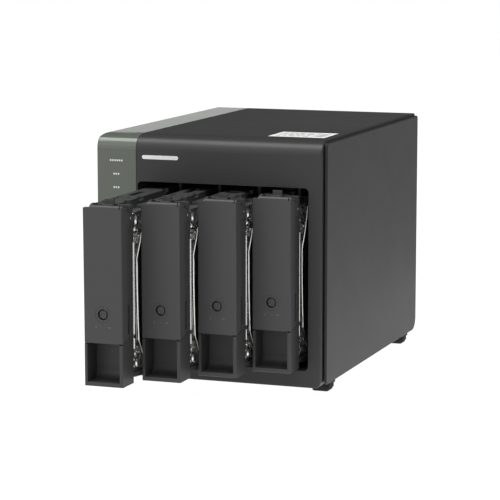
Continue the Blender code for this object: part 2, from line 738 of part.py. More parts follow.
def settle(item, name, surface, parent, place=(0.0, 0.0, 0.0)):
    """Name a finished solid, give it its material and put it under its parent."""
    item.name = name
    item.data.name = name
    item.data.shade_smooth()
    item.data.set_sharp_from_angle(angle=math.radians(32.0))
    item.data.materials.clear()
    item.data.materials.append(surface)
    item.parent = parent
    item.location = [value * MM for value in place]
    return item


def copy_of(first, name, parent):
    """Another object of the same mesh, at the same place under its own parent."""
    item = bpy.data.objects.new(name, first.data)
    bpy.context.scene.collection.objects.link(item)
    item.parent = parent
    item.location = first.location
    return item


def surfaces():
    return {
        "bezel": material("bezel_plastic", (0.054, 0.054, 0.058), 0.45),
        "strip": material("strip_plastic", (0.127, 0.144, 0.122), 0.25),
        "top": material("top_plastic", (0.045, 0.045, 0.046), 0.45),
        "panel": material("panel_paint", (0.080, 0.080, 0.083), 0.50),
        "steel": material("chassis_steel", (0.42, 0.42, 0.43), 0.35, 1.0),
        "rear": material("rear_paint", (0.040, 0.040, 0.042), 0.55),
        "rubber": material("foot_rubber", (0.026, 0.026, 0.026), 0.80),
        "fan": material("fan_plastic", (0.018, 0.018, 0.019), 0.50),
        "board": material("board_laminate", (0.012, 0.060, 0.030), 0.40),
        "contact": material("connector_plastic", (0.015, 0.015, 0.016), 0.45),
        "socket": material("socket_metal", (0.58, 0.58, 0.57), 0.28, 1.0),
        "sink": material("sink_aluminium", (0.52, 0.53, 0.54), 0.35, 1.0),
        "tray": material("tray_plastic", (0.040, 0.040, 0.043), 0.50),
        "lever": material("lever_plastic", (0.074, 0.074, 0.078), 0.45),
        "pin": material("pin_steel", (0.60, 0.60, 0.60), 0.25, 1.0),
        "lock": material("lock_plastic", (0.020, 0.020, 0.021), 0.35),
        "casting": material("drive_aluminium", (0.62, 0.61, 0.59), 0.32, 1.0),
        "lid": material("drive_lid_steel", (0.68, 0.67, 0.65), 0.25, 1.0),
        "button": material("button_plastic", (0.060, 0.062, 0.060), 0.35),
    }


def build_case(case, look):
    settle(make_front_bezel(), "front_bezel", look["bezel"], case)
    settle(make_accent_strip(), "accent_strip", look["strip"], case)
    settle(make_top_cover(), "top_cover", look["top"], case)
    settle(make_side_panel(1.0, PANEL_TOP, 2.5), "side_panel_right", look["panel"], case)
    under_strip = HEIGHT - STRIP_SKIN - 2.0 * GAP
    settle(make_side_panel(-1.0, under_strip, 8.5), "side_panel_left", look["panel"], case)
    settle(make_base_pan(), "base_pan", look["steel"], case)
    settle(make_drive_cage(), "drive_cage", look["rear"], case)
    settle(make_rear_panel(), "rear_panel", look["rear"], case)
    for end, y in (("front", 30.0), ("rear", 205.5)):
        for side, x in (("left", -68.8), ("right", 68.8)):
            settle(make_foot(), f"foot_{end}_{side}", look["rubber"], case, (x, y, 0.0))


def build_electronics(case, look):
    settle(make_backplane(), "backplane_board", look["board"], case)
    settle(make_main_board(), "main_board", look["board"], case)
    settle(make_front_board(), "front_board", look["board"], case)
    settle(make_heat_sink(), "heat_sink", look["sink"], case)
    settle(make_memory_module(), "memory_module", look["board"], case)
    settle(make_front_usb_port(), "front_usb_port", look["socket"], case)
    for number in range(len(PULL_OUT)):
        x = FIRST_TRAY_X + number * TRAY_PITCH
        settle(make_sata_connector(x), f"sata_connector_{number + 1}", look["contact"], case)
    for name, low, high in rear_sockets():
        surface = look["contact"] if name == "dc_jack" else look["socket"]
        settle(make_rear_socket(name, low, high), name, surface, case)


def build_moving_case_pieces(case, look):
    settle(make_fan_frame(), "fan_frame", look["fan"], case)
    fan_front = REAR_FACE - SHEET - GAP - FAN_THICK
    axle = empty("fan_axle", case, (FAN_X, fan_front, FAN_Z))
    settle(make_fan_rotor(), "fan_rotor", look["fan"], axle)
    settle(make_button(POWER_RADIUS, 13.0), "power_button", look["button"], case,
           (BUTTON_X, -0.4, POWER_Z))
    settle(make_button(COPY_RADIUS, 13.0), "copy_button", look["button"], case,
           (BUTTON_X, -0.4, COPY_Z))
    reset = join(rod("reset", (0.0, 0.0), 1.2, "Y", -14.0, 0.0, 16),
                 block("slider", (BOARD_FACE + GAP - BUTTON_X, -17.0, -2.5), (1.8, -13.0, 2.5)))
    settle(reset, "reset_button", look["contact"], case, (BUTTON_X, REAR_FACE + 0.2, RESET_Z))


def build_trays(case, look):
    """Make each tray piece once, then share its mesh between the trays."""
    makers = (
        ("tray_frame", make_tray_frame, look["tray"]),
        ("drive_casting", make_drive_casting, look["casting"]),
        ("drive_lid", make_drive_lid, look["lid"]),
        ("drive_board", make_drive_board, look["board"]),
        ("lever_pin", lambda: rod("pin", (PIVOT_Y, PIVOT_Z), PIN_RADIUS, "X",
                                  0.2 - TRAY_HALF_WIDTH, TRAY_HALF_WIDTH - 0.2, 16), look["pin"]),
    )
    firsts = {}
    for number, pull in enumerate(PULL_OUT, start=1):
        x = FIRST_TRAY_X + (number - 1) * TRAY_PITCH
        slide = empty(f"tray_slide_{number}", case, (x, -pull, 0.0))
        hinge = empty(f"lever_hinge_{number}", slide, (0.0, PIVOT_Y, PIVOT_Z))
        if number == 1:
            for name, maker, surface in makers:
                firsts[name] = settle(maker(), f"{name}_1", surface, slide)
            firsts["lever"] = settle(make_lever(), "lever_1", look["lever"], hinge,
                                     (0.0, -PIVOT_Y, -PIVOT_Z))
            firsts["key_lock"] = settle(make_key_lock(), "key_lock_1", look["lock"], hinge,
                                        (0.0, -PIVOT_Y, LOCK_Z - PIVOT_Z))
        else:
            for name, first in firsts.items():
                parent = hinge if name in ("lever", "key_lock") else slide
                copy_of(first, f"{name}_{number}", parent)


def main():
    clear_scene()
    look = surfaces()
    case = empty("case", None, (0.0, (PULL_OUT[0] - DEPTH) / 2.0, 0.0))
    build_case(case, look)
    build_electronics(case, look)
    build_moving_case_pieces(case, look)
    build_trays(case, look)
    bpy.context.view_layer.update()


main()
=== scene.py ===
"""Looks of a desktop four-bay network attached storage unit, around its CAD frame.

Meshes are written in millimetres and scaled when they are made.  A case piece has
its origin under the middle of the front face, a tray piece under the middle of its
tray's front.  Both have X to the right, Y to the back and Z up from the table.
"""
import math
import random

import bmesh
import bpy
from mathutils import Matrix, Vector


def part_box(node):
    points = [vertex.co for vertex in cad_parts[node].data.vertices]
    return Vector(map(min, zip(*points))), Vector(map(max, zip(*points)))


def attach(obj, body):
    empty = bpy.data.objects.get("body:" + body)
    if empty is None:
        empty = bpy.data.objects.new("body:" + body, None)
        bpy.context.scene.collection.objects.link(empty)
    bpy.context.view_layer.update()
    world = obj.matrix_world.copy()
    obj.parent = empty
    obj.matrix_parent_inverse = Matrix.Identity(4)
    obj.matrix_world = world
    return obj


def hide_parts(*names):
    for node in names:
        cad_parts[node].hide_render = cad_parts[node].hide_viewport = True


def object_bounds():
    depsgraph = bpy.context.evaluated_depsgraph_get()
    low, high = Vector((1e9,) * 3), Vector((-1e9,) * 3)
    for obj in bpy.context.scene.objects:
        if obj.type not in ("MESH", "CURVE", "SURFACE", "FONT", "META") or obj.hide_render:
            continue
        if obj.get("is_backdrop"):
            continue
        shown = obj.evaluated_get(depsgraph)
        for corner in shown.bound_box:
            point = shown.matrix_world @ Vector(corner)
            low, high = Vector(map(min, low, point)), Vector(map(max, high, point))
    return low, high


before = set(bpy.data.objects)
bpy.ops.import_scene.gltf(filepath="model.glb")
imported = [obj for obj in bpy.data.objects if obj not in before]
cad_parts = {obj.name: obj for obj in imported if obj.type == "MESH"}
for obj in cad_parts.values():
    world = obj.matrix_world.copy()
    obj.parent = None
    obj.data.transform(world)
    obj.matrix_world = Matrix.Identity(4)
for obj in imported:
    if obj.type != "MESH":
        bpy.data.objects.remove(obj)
cad_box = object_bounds()

MM = 0.001

# Case, from the frame
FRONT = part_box("accent_strip")[0].y / MM
HALF_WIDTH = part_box("side_panel_right")[1].x / MM
SKIN_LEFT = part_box("top_cover")[0].x / MM
SKIN_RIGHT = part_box("top_cover")[1].x / MM
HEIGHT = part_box("top_cover")[1].z / MM
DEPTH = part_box("top_cover")[1].y / MM - FRONT
SKIN_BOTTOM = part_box("front_bezel")[0].z / MM
SEAM_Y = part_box("front_bezel")[1].y / MM - FRONT
STRIP_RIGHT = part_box("accent_strip")[1].x / MM
GAP = 0.3
SKIN = 3.0
STRIP_SKIN = 2.0
FRONT_RADIUS = 9.0
CROWN_RADIUS = 40.0
TURN_OVER = 75.0
RIM = 1.4
FOOT_RADIUS = 5.0
TOP_RADIUS = 4.5
SHEET = 1.2
LABEL_LOW = (33.0, 21.0)
LABEL_HIGH = (72.0, 53.0)
BAY_LOW = (-50.9, 18.1)
BAY_HIGH = (68.5, 138.2)
BAY_RADIUS = 3.0

# Back, in the case's frame
FAN = (13.0, 84.0)
FAN_HOLE = 52.5
FAN_CORNERS = [(FAN[0] + side * FAN_HOLE, FAN[1] + level * FAN_HOLE)
               for side in (-1.0, 1.0) for level in (-1.0, 1.0)]
FAN_BLADES = 7
FAN_HUB_START = 1.5
BLADE_ROOT = 18.9
BLADE_TIP = 55.0
GRILLE_RADII = (24.0, 32.0, 40.0, 48.0, 55.0)
NECK_FROM = 157.7
RESET_Z = 127.0
REAR_SOCKETS = ("dc_jack", "rear_usb_port", "network_jack_1", "network_jack_2", "sfp_cage")

# Trays, in a tray's own frame
TRAYS = 4
HALF_TRAY = 13.0
TRAY_BOTTOM = 19.8
TRAY_TOP = 133.5
BLOCK_DEPTH = 17.8
RAIL_END = 170.0
RAIL_RIGHT = 3.2
LEVER_BOTTOM = 47.1
LEVER_TOP = 134.3
FLANGE_DEPTH = 13.3
PIVOT = (8.5, 125.5)
LOCK_Z = 65.8
CHEEK_FRONT = 8.5
CHEEK_TOP = 121.0
DRIVE_FRONT = 20.7
DRIVE_BACK = 167.7
DRIVE_BOTTOM = 26.2
DRIVE_TOP = 127.8
DRIVE_LEFT = -12.4
CASTING_RIGHT = 11.6
MOTOR = (76.0, 77.0)
HOOK_TOP = 137.2
MARK_Z = 57.8
RIVET = (15.4, 125.5)
RAIL_OVER_CAGE = 12.2

# Buttons and lights
BUTTON_X = -65.0
BUTTONS = (("power_button", "power_button_body", 112.0, 6.0),
           ("copy_button", "copy_button_body", 46.0, 3.2))
FRONT_SOCKET_Z = 31.0
CAP_PROUD = 0.4
STATUS_MARKS = ((151.5, 6), (142.5, 3), (133.5, 3))
STATUS_X = -66.1

# Camera
TARGET = Vector((0.00625, 0.0, 0.08629))
CAMERA_DISTANCE = 1.50353
CAMERA_AZIMUTH = 19.919
CAMERA_ELEVATION = 8.603
CAMERA_LENS = 158.54


# ---------------------------------------------------------------- outlines

def arc(centre, radius, start, end, steps):
    """Points from one angle to another, in degrees, both ends included."""
    points = []
    for step in range(steps + 1):
        angle = math.radians(start + (end - start) * step / steps)
        points.append((centre[0] + radius * math.cos(angle), centre[1] + radius * math.sin(angle)))
    return points


def circle(centre, radius, sides=48):
    return arc(centre, radius, 0.0, 360.0, sides)[:-1]


def rounded(low, high, radius, steps=6):
    """A rectangle; radius is one number, or one per corner from the low one anticlockwise."""
    radii = radius if isinstance(radius, tuple) else (radius,) * 4
    corners = ((low[0], low[1], 1, 1, 180.0), (high[0], low[1], -1, 1, 270.0),
               (high[0], high[1], -1, -1, 0.0), (low[0], high[1], 1, -1, 90.0))
    points = []
    for (u, v, right, up, start), size in zip(corners, radii):
        if size > 0.0:
            centre = (u + right * size, v + up * size)
            points += arc(centre, size, start, start + 90.0, steps)
        else:
            points.append((u, v))
    return points


def pill(centre, width, height, steps=6):
    """A bar with round ends, or a disc where the two sizes are the same."""
    low = (centre[0] - width / 2.0, centre[1] - height / 2.0)
    high = (centre[0] + width / 2.0, centre[1] + height / 2.0)
    return rounded(low, high, min(width, height) / 2.0 - 0.01, steps)


# ------------------------------------------------------------------ solids

def to_space(axis, u, v, along):
    if axis == "X":
        return Vector((along, u, v)) * MM
    if axis == "Y":
        return Vector((u, along, v)) * MM
    return Vector((u, v, along)) * MM


def add_object(name, data):
    item = bpy.data.objects.new(name, data)
    bpy.context.scene.collection.objects.link(item)
    return item


def as_object(made):
    bmesh.ops.recalc_face_normals(made, faces=made.faces)
    mesh = bpy.data.meshes.new("mesh")
    made.to_mesh(mesh)
    made.free()
    return add_object("solid", mesh)


def close_loops(made, loops):
    """Faces between loops of vertices, and a cap at each end."""
    made.faces.new(loops[0])
    made.faces.new(loops[-1])
    for lower, upper in zip(loops, loops[1:]):
        for index in range(len(lower)):
            after = (index + 1) % len(lower)
            made.faces.new((lower[index], lower[after], upper[after], upper[index]))


def loft(rings, axis, places):
    """A closed solid through outlines with the same number of points."""
    made = bmesh.new()
    loops = []
    for outline, place in zip(rings, places):
        loops.append([made.verts.new(to_space(axis, u, v, place)) for u, v in outline])
    close_loops(made, loops)
    return as_object(made)


def prism(outline, axis, start, end):
    return loft((outline, outline), axis, (start, end))


def block(low, high):
    return slab(low[:2], high[:2], 0.0, "Z", low[2], high[2])


def turned(centre, profile, axis, sides=48):
    """A solid of revolution from (radius, place) pairs."""
    rings = [circle(centre, radius, sides) for radius, _ in profile]
    return loft(rings, axis, [place for _, place in profile])


def slab(low, high, radius, axis, start, end, steps=6):
    """A solid with a rounded rectangle as its outline."""
    return prism(rounded(low, high, radius, steps), axis, start, end)


def both_sides(outline, inner, outer):
    """An outline on the left and on the right, between two distances from the middle."""
    return [prism(outline, "X", *sorted((side * inner, side * outer))) for side in (-1.0, 1.0)]


def rod(centre, radius, axis, start, end, sides=48):
    return turned(centre, ((radius, start), (radius, end)), axis, sides)


def gather(tools):
    """Put several solids into the mesh of the first and remove the others."""
    made = bmesh.new()
    for tool in tools:
        made.from_mesh(tool.data)
    made.to_mesh(tools[0].data)
    made.free()
    for tool in tools[1:]:
        bpy.data.meshes.remove(tool.data)
    return tools[0]


def settle(item):
    """Apply an object's modifiers to its mesh."""
    seen = item.evaluated_get(bpy.context.evaluated_depsgraph_get())
    result = bpy.data.meshes.new_from_object(seen)
    item.modifiers.clear()
    spent = item.data
    item.data = result
    bpy.data.meshes.remove(spent)
    return item


def combine(base, tools, operation):
    tool = gather(tools)
    step = base.modifiers.new(operation, "BOOLEAN")
    step.operation = operation
    step.solver = "EXACT"
    step.use_self = len(tools) > 1
    step.object = tool
    settle(base)
    bpy.data.meshes.remove(tool.data)
    return base


def join(base, *tools):
    return combine(base, tools, "UNION")


def cut(base, *tools):
    return combine(base, tools, "DIFFERENCE")


def clip(base, tool):
    return combine(base, (tool,), "INTERSECT")


def clean_copy(item):
    """An object's mesh without doubled points and without edges inside flat faces."""
    made = bmesh.new()
    made.from_mesh(item.data)
    bmesh.ops.remove_doubles(made, verts=made.verts, dist=1e-6)
    flat = math.radians(0.5)
    bmesh.ops.dissolve_limit(made, angle_limit=flat, verts=made.verts, edges=made.edges)
    return made


def bevel_edges(item, width, chosen, segments=4):
    """Round the edges whose two ends are both chosen, by their places in millimetres."""
    made = clean_copy(item)
    edges = []
    for edge in made.edges:
        sharp = edge.calc_face_angle(0.0) > math.radians(40.0)
        if sharp and all(chosen(*(vert.co / MM)) for vert in edge.verts):
            edges.append(edge)
    bmesh.ops.bevel(made, geom=edges, offset=width * MM, segments=segments,
                    profile=0.5, affect="EDGES", clamp_overlap=False)
    made.to_mesh(item.data)
    made.free()
    return item


def soften(item, width=0.25, segments=2, angle=38.0):
    """Round what is still sharp, and shade the rest smooth."""
    made = clean_copy(item)
    made.to_mesh(item.data)
    made.free()
    item.data.shade_smooth()
    edge = item.modifiers.new("edge", "BEVEL")
    edge.width = width * MM
    edge.segments = segments
    edge.limit_method = "ANGLE"
    edge.angle_limit = math.radians(angle)
    edge.use_clamp_overlap = True
    normals = item.modifiers.new("normals", "WEIGHTED_NORMAL")
    normals.keep_sharp = True
    return settle(item)


# --------------------------------------------------------------- materials

class Paint:
    """A Principled material and short ways to add nodes to it."""

    def __init__(self, name):
        self.material = bpy.data.materials.new(name)
        self.material.use_nodes = True
        self.tree = self.material.node_tree
        self.shader = self.tree.nodes["Principled BSDF"]
        self.place = self.node("ShaderNodeTexCoord").outputs["Object"]

    def connect(self, socket, value):
        if isinstance(value, bpy.types.NodeSocket):
            self.tree.links.new(value, socket)
        else:
            socket.default_value = value

    def node(self, kind, inputs=(), **settings):
        made = self.tree.nodes.new(kind)
        for key, value in settings.items():
            setattr(made, key, value)
        for key, value in dict(inputs).items():
            self.connect(made.inputs[key], value)
        return made

    def noise(self, size, detail=2.0, stretch=(1.0, 1.0, 1.0)):
        """Noise whose grains are size millimetres wide, longer where stretch is under 1."""
        spread = self.node("ShaderNodeMapping", {"Vector": self.place, "Scale": stretch})
        made = self.node("ShaderNodeTexNoise",
                         {"Vector": spread.outputs[0], "Scale": 1.0 / (size * MM),
                          "Detail": detail, "Roughness": 0.55})
        return made.outputs["Fac"]

    def maths(self, operation, first, second=0.0, clamp=False):
        made = self.node("ShaderNodeMath", {0: first, 1: second}, operation=operation, use_clamp=clamp)
        return made.outputs[0]

    def spread(self, value, low, high, to_low, to_high):
        made = self.node("ShaderNodeMapRange", {"Value": value, "From Min": low, "From Max": high,
                                                "To Min": to_low, "To Max": to_high})
        return made.outputs[0]

    def mix(self, share, first, second):
        made = self.node("ShaderNodeMix", {0: share, 6: first, 7: second}, data_type="RGBA")
        return made.outputs[2]

    def edges(self, radius, strength):
        """High where the surface turns within radius millimetres."""
        rounded_normal = self.node("ShaderNodeBevel", {"Radius": radius * MM}, samples=6)
        true_normal = self.node("ShaderNodeNewGeometry").outputs["Normal"]
        match = self.node("ShaderNodeVectorMath",
                          {0: rounded_normal.outputs[0], 1: true_normal},
                          operation="DOT_PRODUCT").outputs["Value"]
        return self.maths("MULTIPLY", self.maths("SUBTRACT", 1.0, match), strength, True)

    def feed(self, **inputs):
        for key, value in inputs.items():
            self.connect(self.shader.inputs[key.replace("_", " ")], value)

    def bump(self, height, depth, before=None):
        """Bump of depth millimetres from a height from 0 to 1."""
        inputs = {"Height": height, "Distance": depth * MM, "Strength": 1.0}
        if before is not None:
            inputs["Normal"] = before
        return self.node("ShaderNodeBump", inputs).outputs[0]


def shade(colour, factor=1.0):
    return (*(min(1.0, part * factor) for part in colour), 1.0)


def moulded(name, colour, roughness, specular=0.5, grain=0.35, depth=0.008, mottle=0.04,
            edge_wear_and_highlight=1.5, uneven=0.015):
    """Moulded plastic or paint with a fine spark-eroded grain, and lighter edges that are partly rubbed
    wear and partly a painted highlight.
    """
    paint = Paint(name)
    fine = paint.noise(grain, 3.0)
    broad = paint.noise(22.0, 4.0)
    tone = paint.mix(broad, shade(colour, 1.0 - mottle), shade(colour, 1.0 + mottle))
    speck = paint.spread(fine, 0.35, 0.7, 0.0, 0.35)
    tone = paint.mix(speck, tone, shade(colour, 0.72))
    # Edges are lightened in the colour: partly rubbed wear, partly a painted highlight along every edge.
    # They are also made a little glossier.
    rubbed_and_highlight_edges = paint.maths("MULTIPLY", paint.edges(0.35, 5.0),
                         paint.spread(paint.noise(6.0, 3.0), 0.35, 0.65, 0.35, 1.0), True)
    tone = paint.mix(rubbed_and_highlight_edges, tone, shade(colour, edge_wear_and_highlight))
    rough = paint.spread(broad, 0.3, 0.7, roughness - uneven, roughness + uneven)
    paint.feed(Base_Color=tone, Roughness=paint.maths("SUBTRACT", rough, paint.maths(
        "MULTIPLY", rubbed_and_highlight_edges, 0.12)), Normal=paint.bump(fine, depth))
    paint.feed(Specular_IOR_Level=specular)
    return paint.material


def brushed(name, colour, roughness, along=(1.0, 1.0, 1.0), depth=0.004, mottle=0.08):
    """Bare sheet metal with fine lines along one axis and faint cloudy marks."""
    paint = Paint(name)
    lines = paint.noise(0.25, 4.0, along)
    cloud = paint.noise(14.0, 5.0)
    tone = paint.mix(lines, shade(colour, 1.0 - mottle), shade(colour, 1.0 + mottle))
    tone = paint.mix(paint.spread(cloud, 0.4, 0.75, 0.0, 0.3), tone, shade(colour, 0.75))
    rough = paint.spread(paint.maths("ADD", lines, cloud), 0.6, 1.4, roughness - 0.06, roughness + 0.10)
    paint.feed(Base_Color=tone, Roughness=rough, Metallic=1.0, Normal=paint.bump(lines, depth))
    return paint.material


def cast(name, colour, roughness):
    """Die-cast aluminium: pitted skin, darker in its grain, brighter machined edges."""
    paint = Paint(name)
    pits = paint.noise(0.6, 5.0)
    cloud = paint.noise(9.0, 4.0)
    tone = paint.mix(cloud, shade(colour, 0.86), shade(colour, 1.05))
    tone = paint.mix(paint.spread(pits, 0.3, 0.5, 0.12, 0.0), tone, shade(colour, 0.45))
    edge = paint.edges(0.4, 6.0)
    tone = paint.mix(edge, tone, shade(colour, 1.35))
    rough = paint.spread(pits, 0.3, 0.7, roughness + 0.12, roughness - 0.05)
    paint.feed(Base_Color=tone, Metallic=1.0, Roughness=paint.maths(
        "SUBTRACT", rough, paint.maths("MULTIPLY", edge, 0.2)), Normal=paint.bump(pits, 0.008))
    return paint.material


def laminate(name, colour, axes):
    """Circuit board: solder mask over copper lines that run along one of two axes."""
    paint = Paint(name)
    cells = paint.node("ShaderNodeTexVoronoi", {"Vector": paint.place, "Scale": 110.0},
                       distance="CHEBYCHEV")
    chance = paint.node("ShaderNodeSeparateColor", {"Color": cells.outputs["Color"]})
    lines = []
    for axis in axes:
        wave = paint.node("ShaderNodeTexWave", {"Vector": paint.place, "Scale": 180.0,
                                                "Distortion": 0.0, "Detail": 0.0},
                          wave_type="BANDS", bands_direction=axis)
        lines.append(paint.spread(wave.outputs["Fac"], 0.55, 0.7, 0.0, 1.0))
    picked = paint.spread(chance.outputs[0], 0.44, 0.46, 0.0, 1.0)
    copper = paint.maths("ADD", paint.maths("MULTIPLY", lines[0], picked),
                         paint.maths("MULTIPLY", lines[1], paint.maths("SUBTRACT", 1.0, picked)))
    copper = paint.maths("MULTIPLY", copper, paint.spread(chance.outputs[1], 0.30, 0.32, 0.0, 1.0), True)
    vias = paint.node("ShaderNodeTexVoronoi", {"Vector": paint.place, "Scale": 260.0})
    dots = paint.spread(vias.outputs["Distance"], 0.12, 0.16, 1.0, 0.0)
    tone = paint.mix(paint.noise(12.0, 3.0), shade(colour, 0.85), shade(colour, 1.1))
    tone = paint.mix(copper, tone, shade(colour, 1.9))
    tone = paint.mix(dots, tone, (0.55, 0.50, 0.36, 1.0))
    paint.feed(Base_Color=tone, Normal=paint.bump(copper, 0.03), Metallic=paint.maths(
        "MULTIPLY", dots, 0.9), Roughness=paint.spread(dots, 0.0, 1.0, 0.42, 0.28))
    return paint.material


def plain(name, colour, roughness, metallic=0.0, size=3.0, mottle=0.1, glow=0.0):
    """Small print, contacts and lights: one colour with slight unevenness."""
    paint = Paint(name)
    cloud = paint.noise(size, 4.0)
    tone = paint.mix(cloud, shade(colour, 1.0 - mottle), shade(colour, 1.0 + mottle))
    rough = paint.spread(cloud, 0.3, 0.7, roughness - 0.05, roughness + 0.05)
    paint.feed(Base_Color=tone, Roughness=rough, Metallic=metallic,
               Normal=paint.bump(paint.noise(0.3, 2.0), 0.004))
    if glow:
        paint.feed(Emission_Color=shade(colour), Emission_Strength=glow)
    return paint.material


LOOKS = {
    "bezel": moulded("bezel_plastic", (0.0235, 0.0235, 0.0245), 0.42, 0.34),
    "strip": moulded("strip_plastic", (0.078, 0.092, 0.074), 0.17, 0.55, 0.30, 0.001, 0.02, 1.2,
                     0.005),
    "top": moulded("top_plastic", (0.0235, 0.0235, 0.024), 0.60, 0.15, 0.45, 0.01),
    "panel": moulded("panel_paint", (0.0185, 0.0185, 0.019), 0.55, 0.18, 0.50, 0.006, 0.02),
    "rear": moulded("rear_paint", (0.046, 0.046, 0.048), 0.55, 0.4, 0.5, 0.02),
    "steel": brushed("chassis_steel", (0.50, 0.50, 0.51), 0.34, (1.0, 0.02, 1.0)),
    "socket": brushed("socket_steel", (0.66, 0.66, 0.65), 0.24, (1.0, 0.05, 1.0)),
    "sink": brushed("sink_aluminium", (0.58, 0.59, 0.60), 0.36, (1.0, 1.0, 0.02)),
    "pin": brushed("pin_steel", (0.66, 0.66, 0.66), 0.22, (0.05, 1.0, 1.0)),
    "lid": brushed("drive_lid_steel", (0.72, 0.71, 0.69), 0.20, (1.0, 0.04, 1.0), 0.002, 0.04),
    "screw": brushed("screw_steel", (0.60, 0.60, 0.61), 0.26, (1.0, 1.0, 1.0)),
    "casting": cast("drive_aluminium", (0.80, 0.795, 0.78), 0.24),
    "rubber": moulded("foot_rubber", (0.018, 0.018, 0.018), 0.78, 0.3, 0.6, 0.03),
    "fan": moulded("fan_plastic", (0.016, 0.016, 0.017), 0.40, 0.5, 0.4, 0.006),
    "contact": moulded("connector_plastic", (0.016, 0.016, 0.017), 0.45, 0.5, 0.3, 0.008),
    "tray": moulded("tray_plastic", (0.029, 0.029, 0.0305), 0.48, 0.45, 0.35, 0.010),
    "lever": moulded("lever_plastic", (0.037, 0.037, 0.0385), 0.46, 0.45, 0.35, 0.010),
    "lock": moulded("lock_plastic", (0.012, 0.012, 0.013), 0.30, 0.5, 0.3, 0.004),
    "button": moulded("button_plastic", (0.060, 0.064, 0.060), 0.34, 0.5, 0.3, 0.005),
    "board": laminate("board_laminate", (0.010, 0.055, 0.028), ("Y", "Z")),
    "backplane": laminate("backplane_laminate", (0.010, 0.050, 0.026), ("X", "Z")),
    "relief": plain("lever_relief", (0.060, 0.060, 0.062), 0.40),
    "chip": plain("chip_epoxy", (0.018, 0.018, 0.019), 0.55),
    "gold": plain("contact_gold", (0.75, 0.55, 0.22), 0.25, 1.0),
    "tin": plain("solder_tin", (0.62, 0.62, 0.60), 0.35, 1.0),
    "blue": plain("tongue_blue", (0.02, 0.10, 0.42), 0.40),
    "paper": plain("label_paper", (0.66, 0.66, 0.64), 0.55, 0.0, 6.0, 0.03),
    "ink": plain("label_ink", (0.10, 0.10, 0.11), 0.50),
    "print": plain("light_print", (0.66, 0.67, 0.66), 0.45),
    "lamp": plain("green_lamp", (0.10, 0.55, 0.16), 0.30),
    "amber": plain("amber_lamp", (0.60, 0.30, 0.04), 0.30),
}


KEPT_NODES = (
    ("drive_cage", "rear"), ("backplane", "backplane"), ("main_board", "board"),
    ("front_board", "backplane"), ("heat_sink", "sink"), ("memory", "board"),
    ("sata", "contact"),
)


# ------------------------------------------------------------------ pieces

def crown_centres():
    """Centres of the front's tight curve and of the slow curve that follows it."""
    turn = math.radians(TURN_OVER)
    offset = CROWN_RADIUS - FRONT_RADIUS
    crown = (FRONT_RADIUS + offset * math.cos(turn), HEIGHT - CROWN_RADIUS)
    return (FRONT_RADIUS, crown[1] + offset * math.sin(turn)), crown


FRONT_CENTRE, CROWN_CENTRE = crown_centres()


def case_origin():
    return Vector((0.0, FRONT, 0.0)) * MM


def tray_origin(number):
    low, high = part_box(f"tray_frame_{number}")
    return Vector(((low.x + high.x) / 2.0, low.y, 0.0))


def show(item, name, body, look, origin, replaced=(), slot=None):
    """Name a finished piece, give it its look and body, and put it in its place."""
    item.name = name
    item.data.name = name
    item.data.materials.clear()
    item.data.materials.append(LOOKS[look])
    item.location = origin
    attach(item, body)
    if replaced:
        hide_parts(*replaced)
    slot or look
    return item


def case_piece(item, name, look, replaced=(), slot=None, body="case"):
    return show(item, name, body, look, case_origin(), replaced, slot)


def tray_pieces(item, name, look, replaced=None, body="tray_{}"):
    """The same piece on each tray: replaced and body hold {} for the tray's number."""
    for number in range(1, TRAYS + 1):
        piece = item if number == 1 else add_object(name, item.data)
        piece.name = f"{name}_{number}"
        if number == 1:
            piece.data.materials.clear()
            piece.data.materials.append(LOOKS[look])
        piece.location = tray_origin(number)
        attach(piece, body.format(number))
        if replaced:
            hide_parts(replaced.format(number))


def screws(places, axis, face, towards, head=2.4, depth=0.9, sides=24):
    """Pan-head screws with a cross recess; towards is the way the heads point."""
    made = []
    for u, v in places:
        top = face + towards * depth
        body = turned((u, v), ((head, face - towards * 0.4), (head, face + towards * depth * 0.35),
                               (head * 0.86, face + towards * depth * 0.8), (head * 0.5, top)),
                      axis, sides)
        wide, thin = head * 0.58, head * 0.14
        bars = []
        for width, height in ((wide, thin), (thin, wide)):
            outline = rounded((u - width, v - height), (u + width, v + height), 0.0)
            start, end = sorted((top - towards * depth * 0.6, top + towards))
            bars.append(prism(outline, axis, start, end))
        made.append(cut(body, *bars))
    return soften(gather(made), 0.08, 1)


# ------------------------------------------------------- case front and skins

def outer_profile(back):
    """Side view of the space inside the front and top skins: a tight curve, then a slow one."""
    return ([(0.0, 0.0)] + arc(FRONT_CENTRE, FRONT_RADIUS, 180.0, 180.0 - TURN_OVER, 20)
            + arc(CROWN_CENTRE, CROWN_RADIUS, 180.0 - TURN_OVER, 90.0, 8)[1:]
            + [(back, HEIGHT), (back, 0.0)])


def front_view(top, corner):
    """Front view of the skins up to a height, with the radius of their top left corner."""
    return rounded((-HALF_WIDTH, SKIN_BOTTOM), (SKIN_RIGHT, top),
                   (FOOT_RADIUS, FOOT_RADIUS, 0.0, corner), 10)


def on_rim(x, y, z):
    """True on the outline where the outer skin meets its sides and its lower edge."""
    near = 0.03
    turn_y = FRONT_CENTRE[0] - FRONT_RADIUS * math.cos(math.radians(TURN_OVER))
    skin = y < near or z > HEIGHT - near
    if y < turn_y and z > FRONT_CENTRE[1]:
        skin = math.hypot(y - FRONT_CENTRE[0], z - FRONT_CENTRE[1]) > FRONT_RADIUS - near
    elif turn_y <= y < CROWN_CENTRE[0]:
        skin = math.hypot(y - CROWN_CENTRE[0], z - CROWN_CENTRE[1]) > CROWN_RADIUS - near
    middle, half = (SKIN_RIGHT - HALF_WIDTH) / 2.0, (SKIN_RIGHT + HALF_WIDTH) / 2.0
    reach = abs(x - middle)
    side = reach > half - near or z < SKIN_BOTTOM + near
    corner_x, corner_z = half - FOOT_RADIUS, SKIN_BOTTOM + FOOT_RADIUS
    if reach > corner_x and z < corner_z:
        side = math.hypot(reach - corner_x, z - corner_z) > FOOT_RADIUS - near
    return skin and side


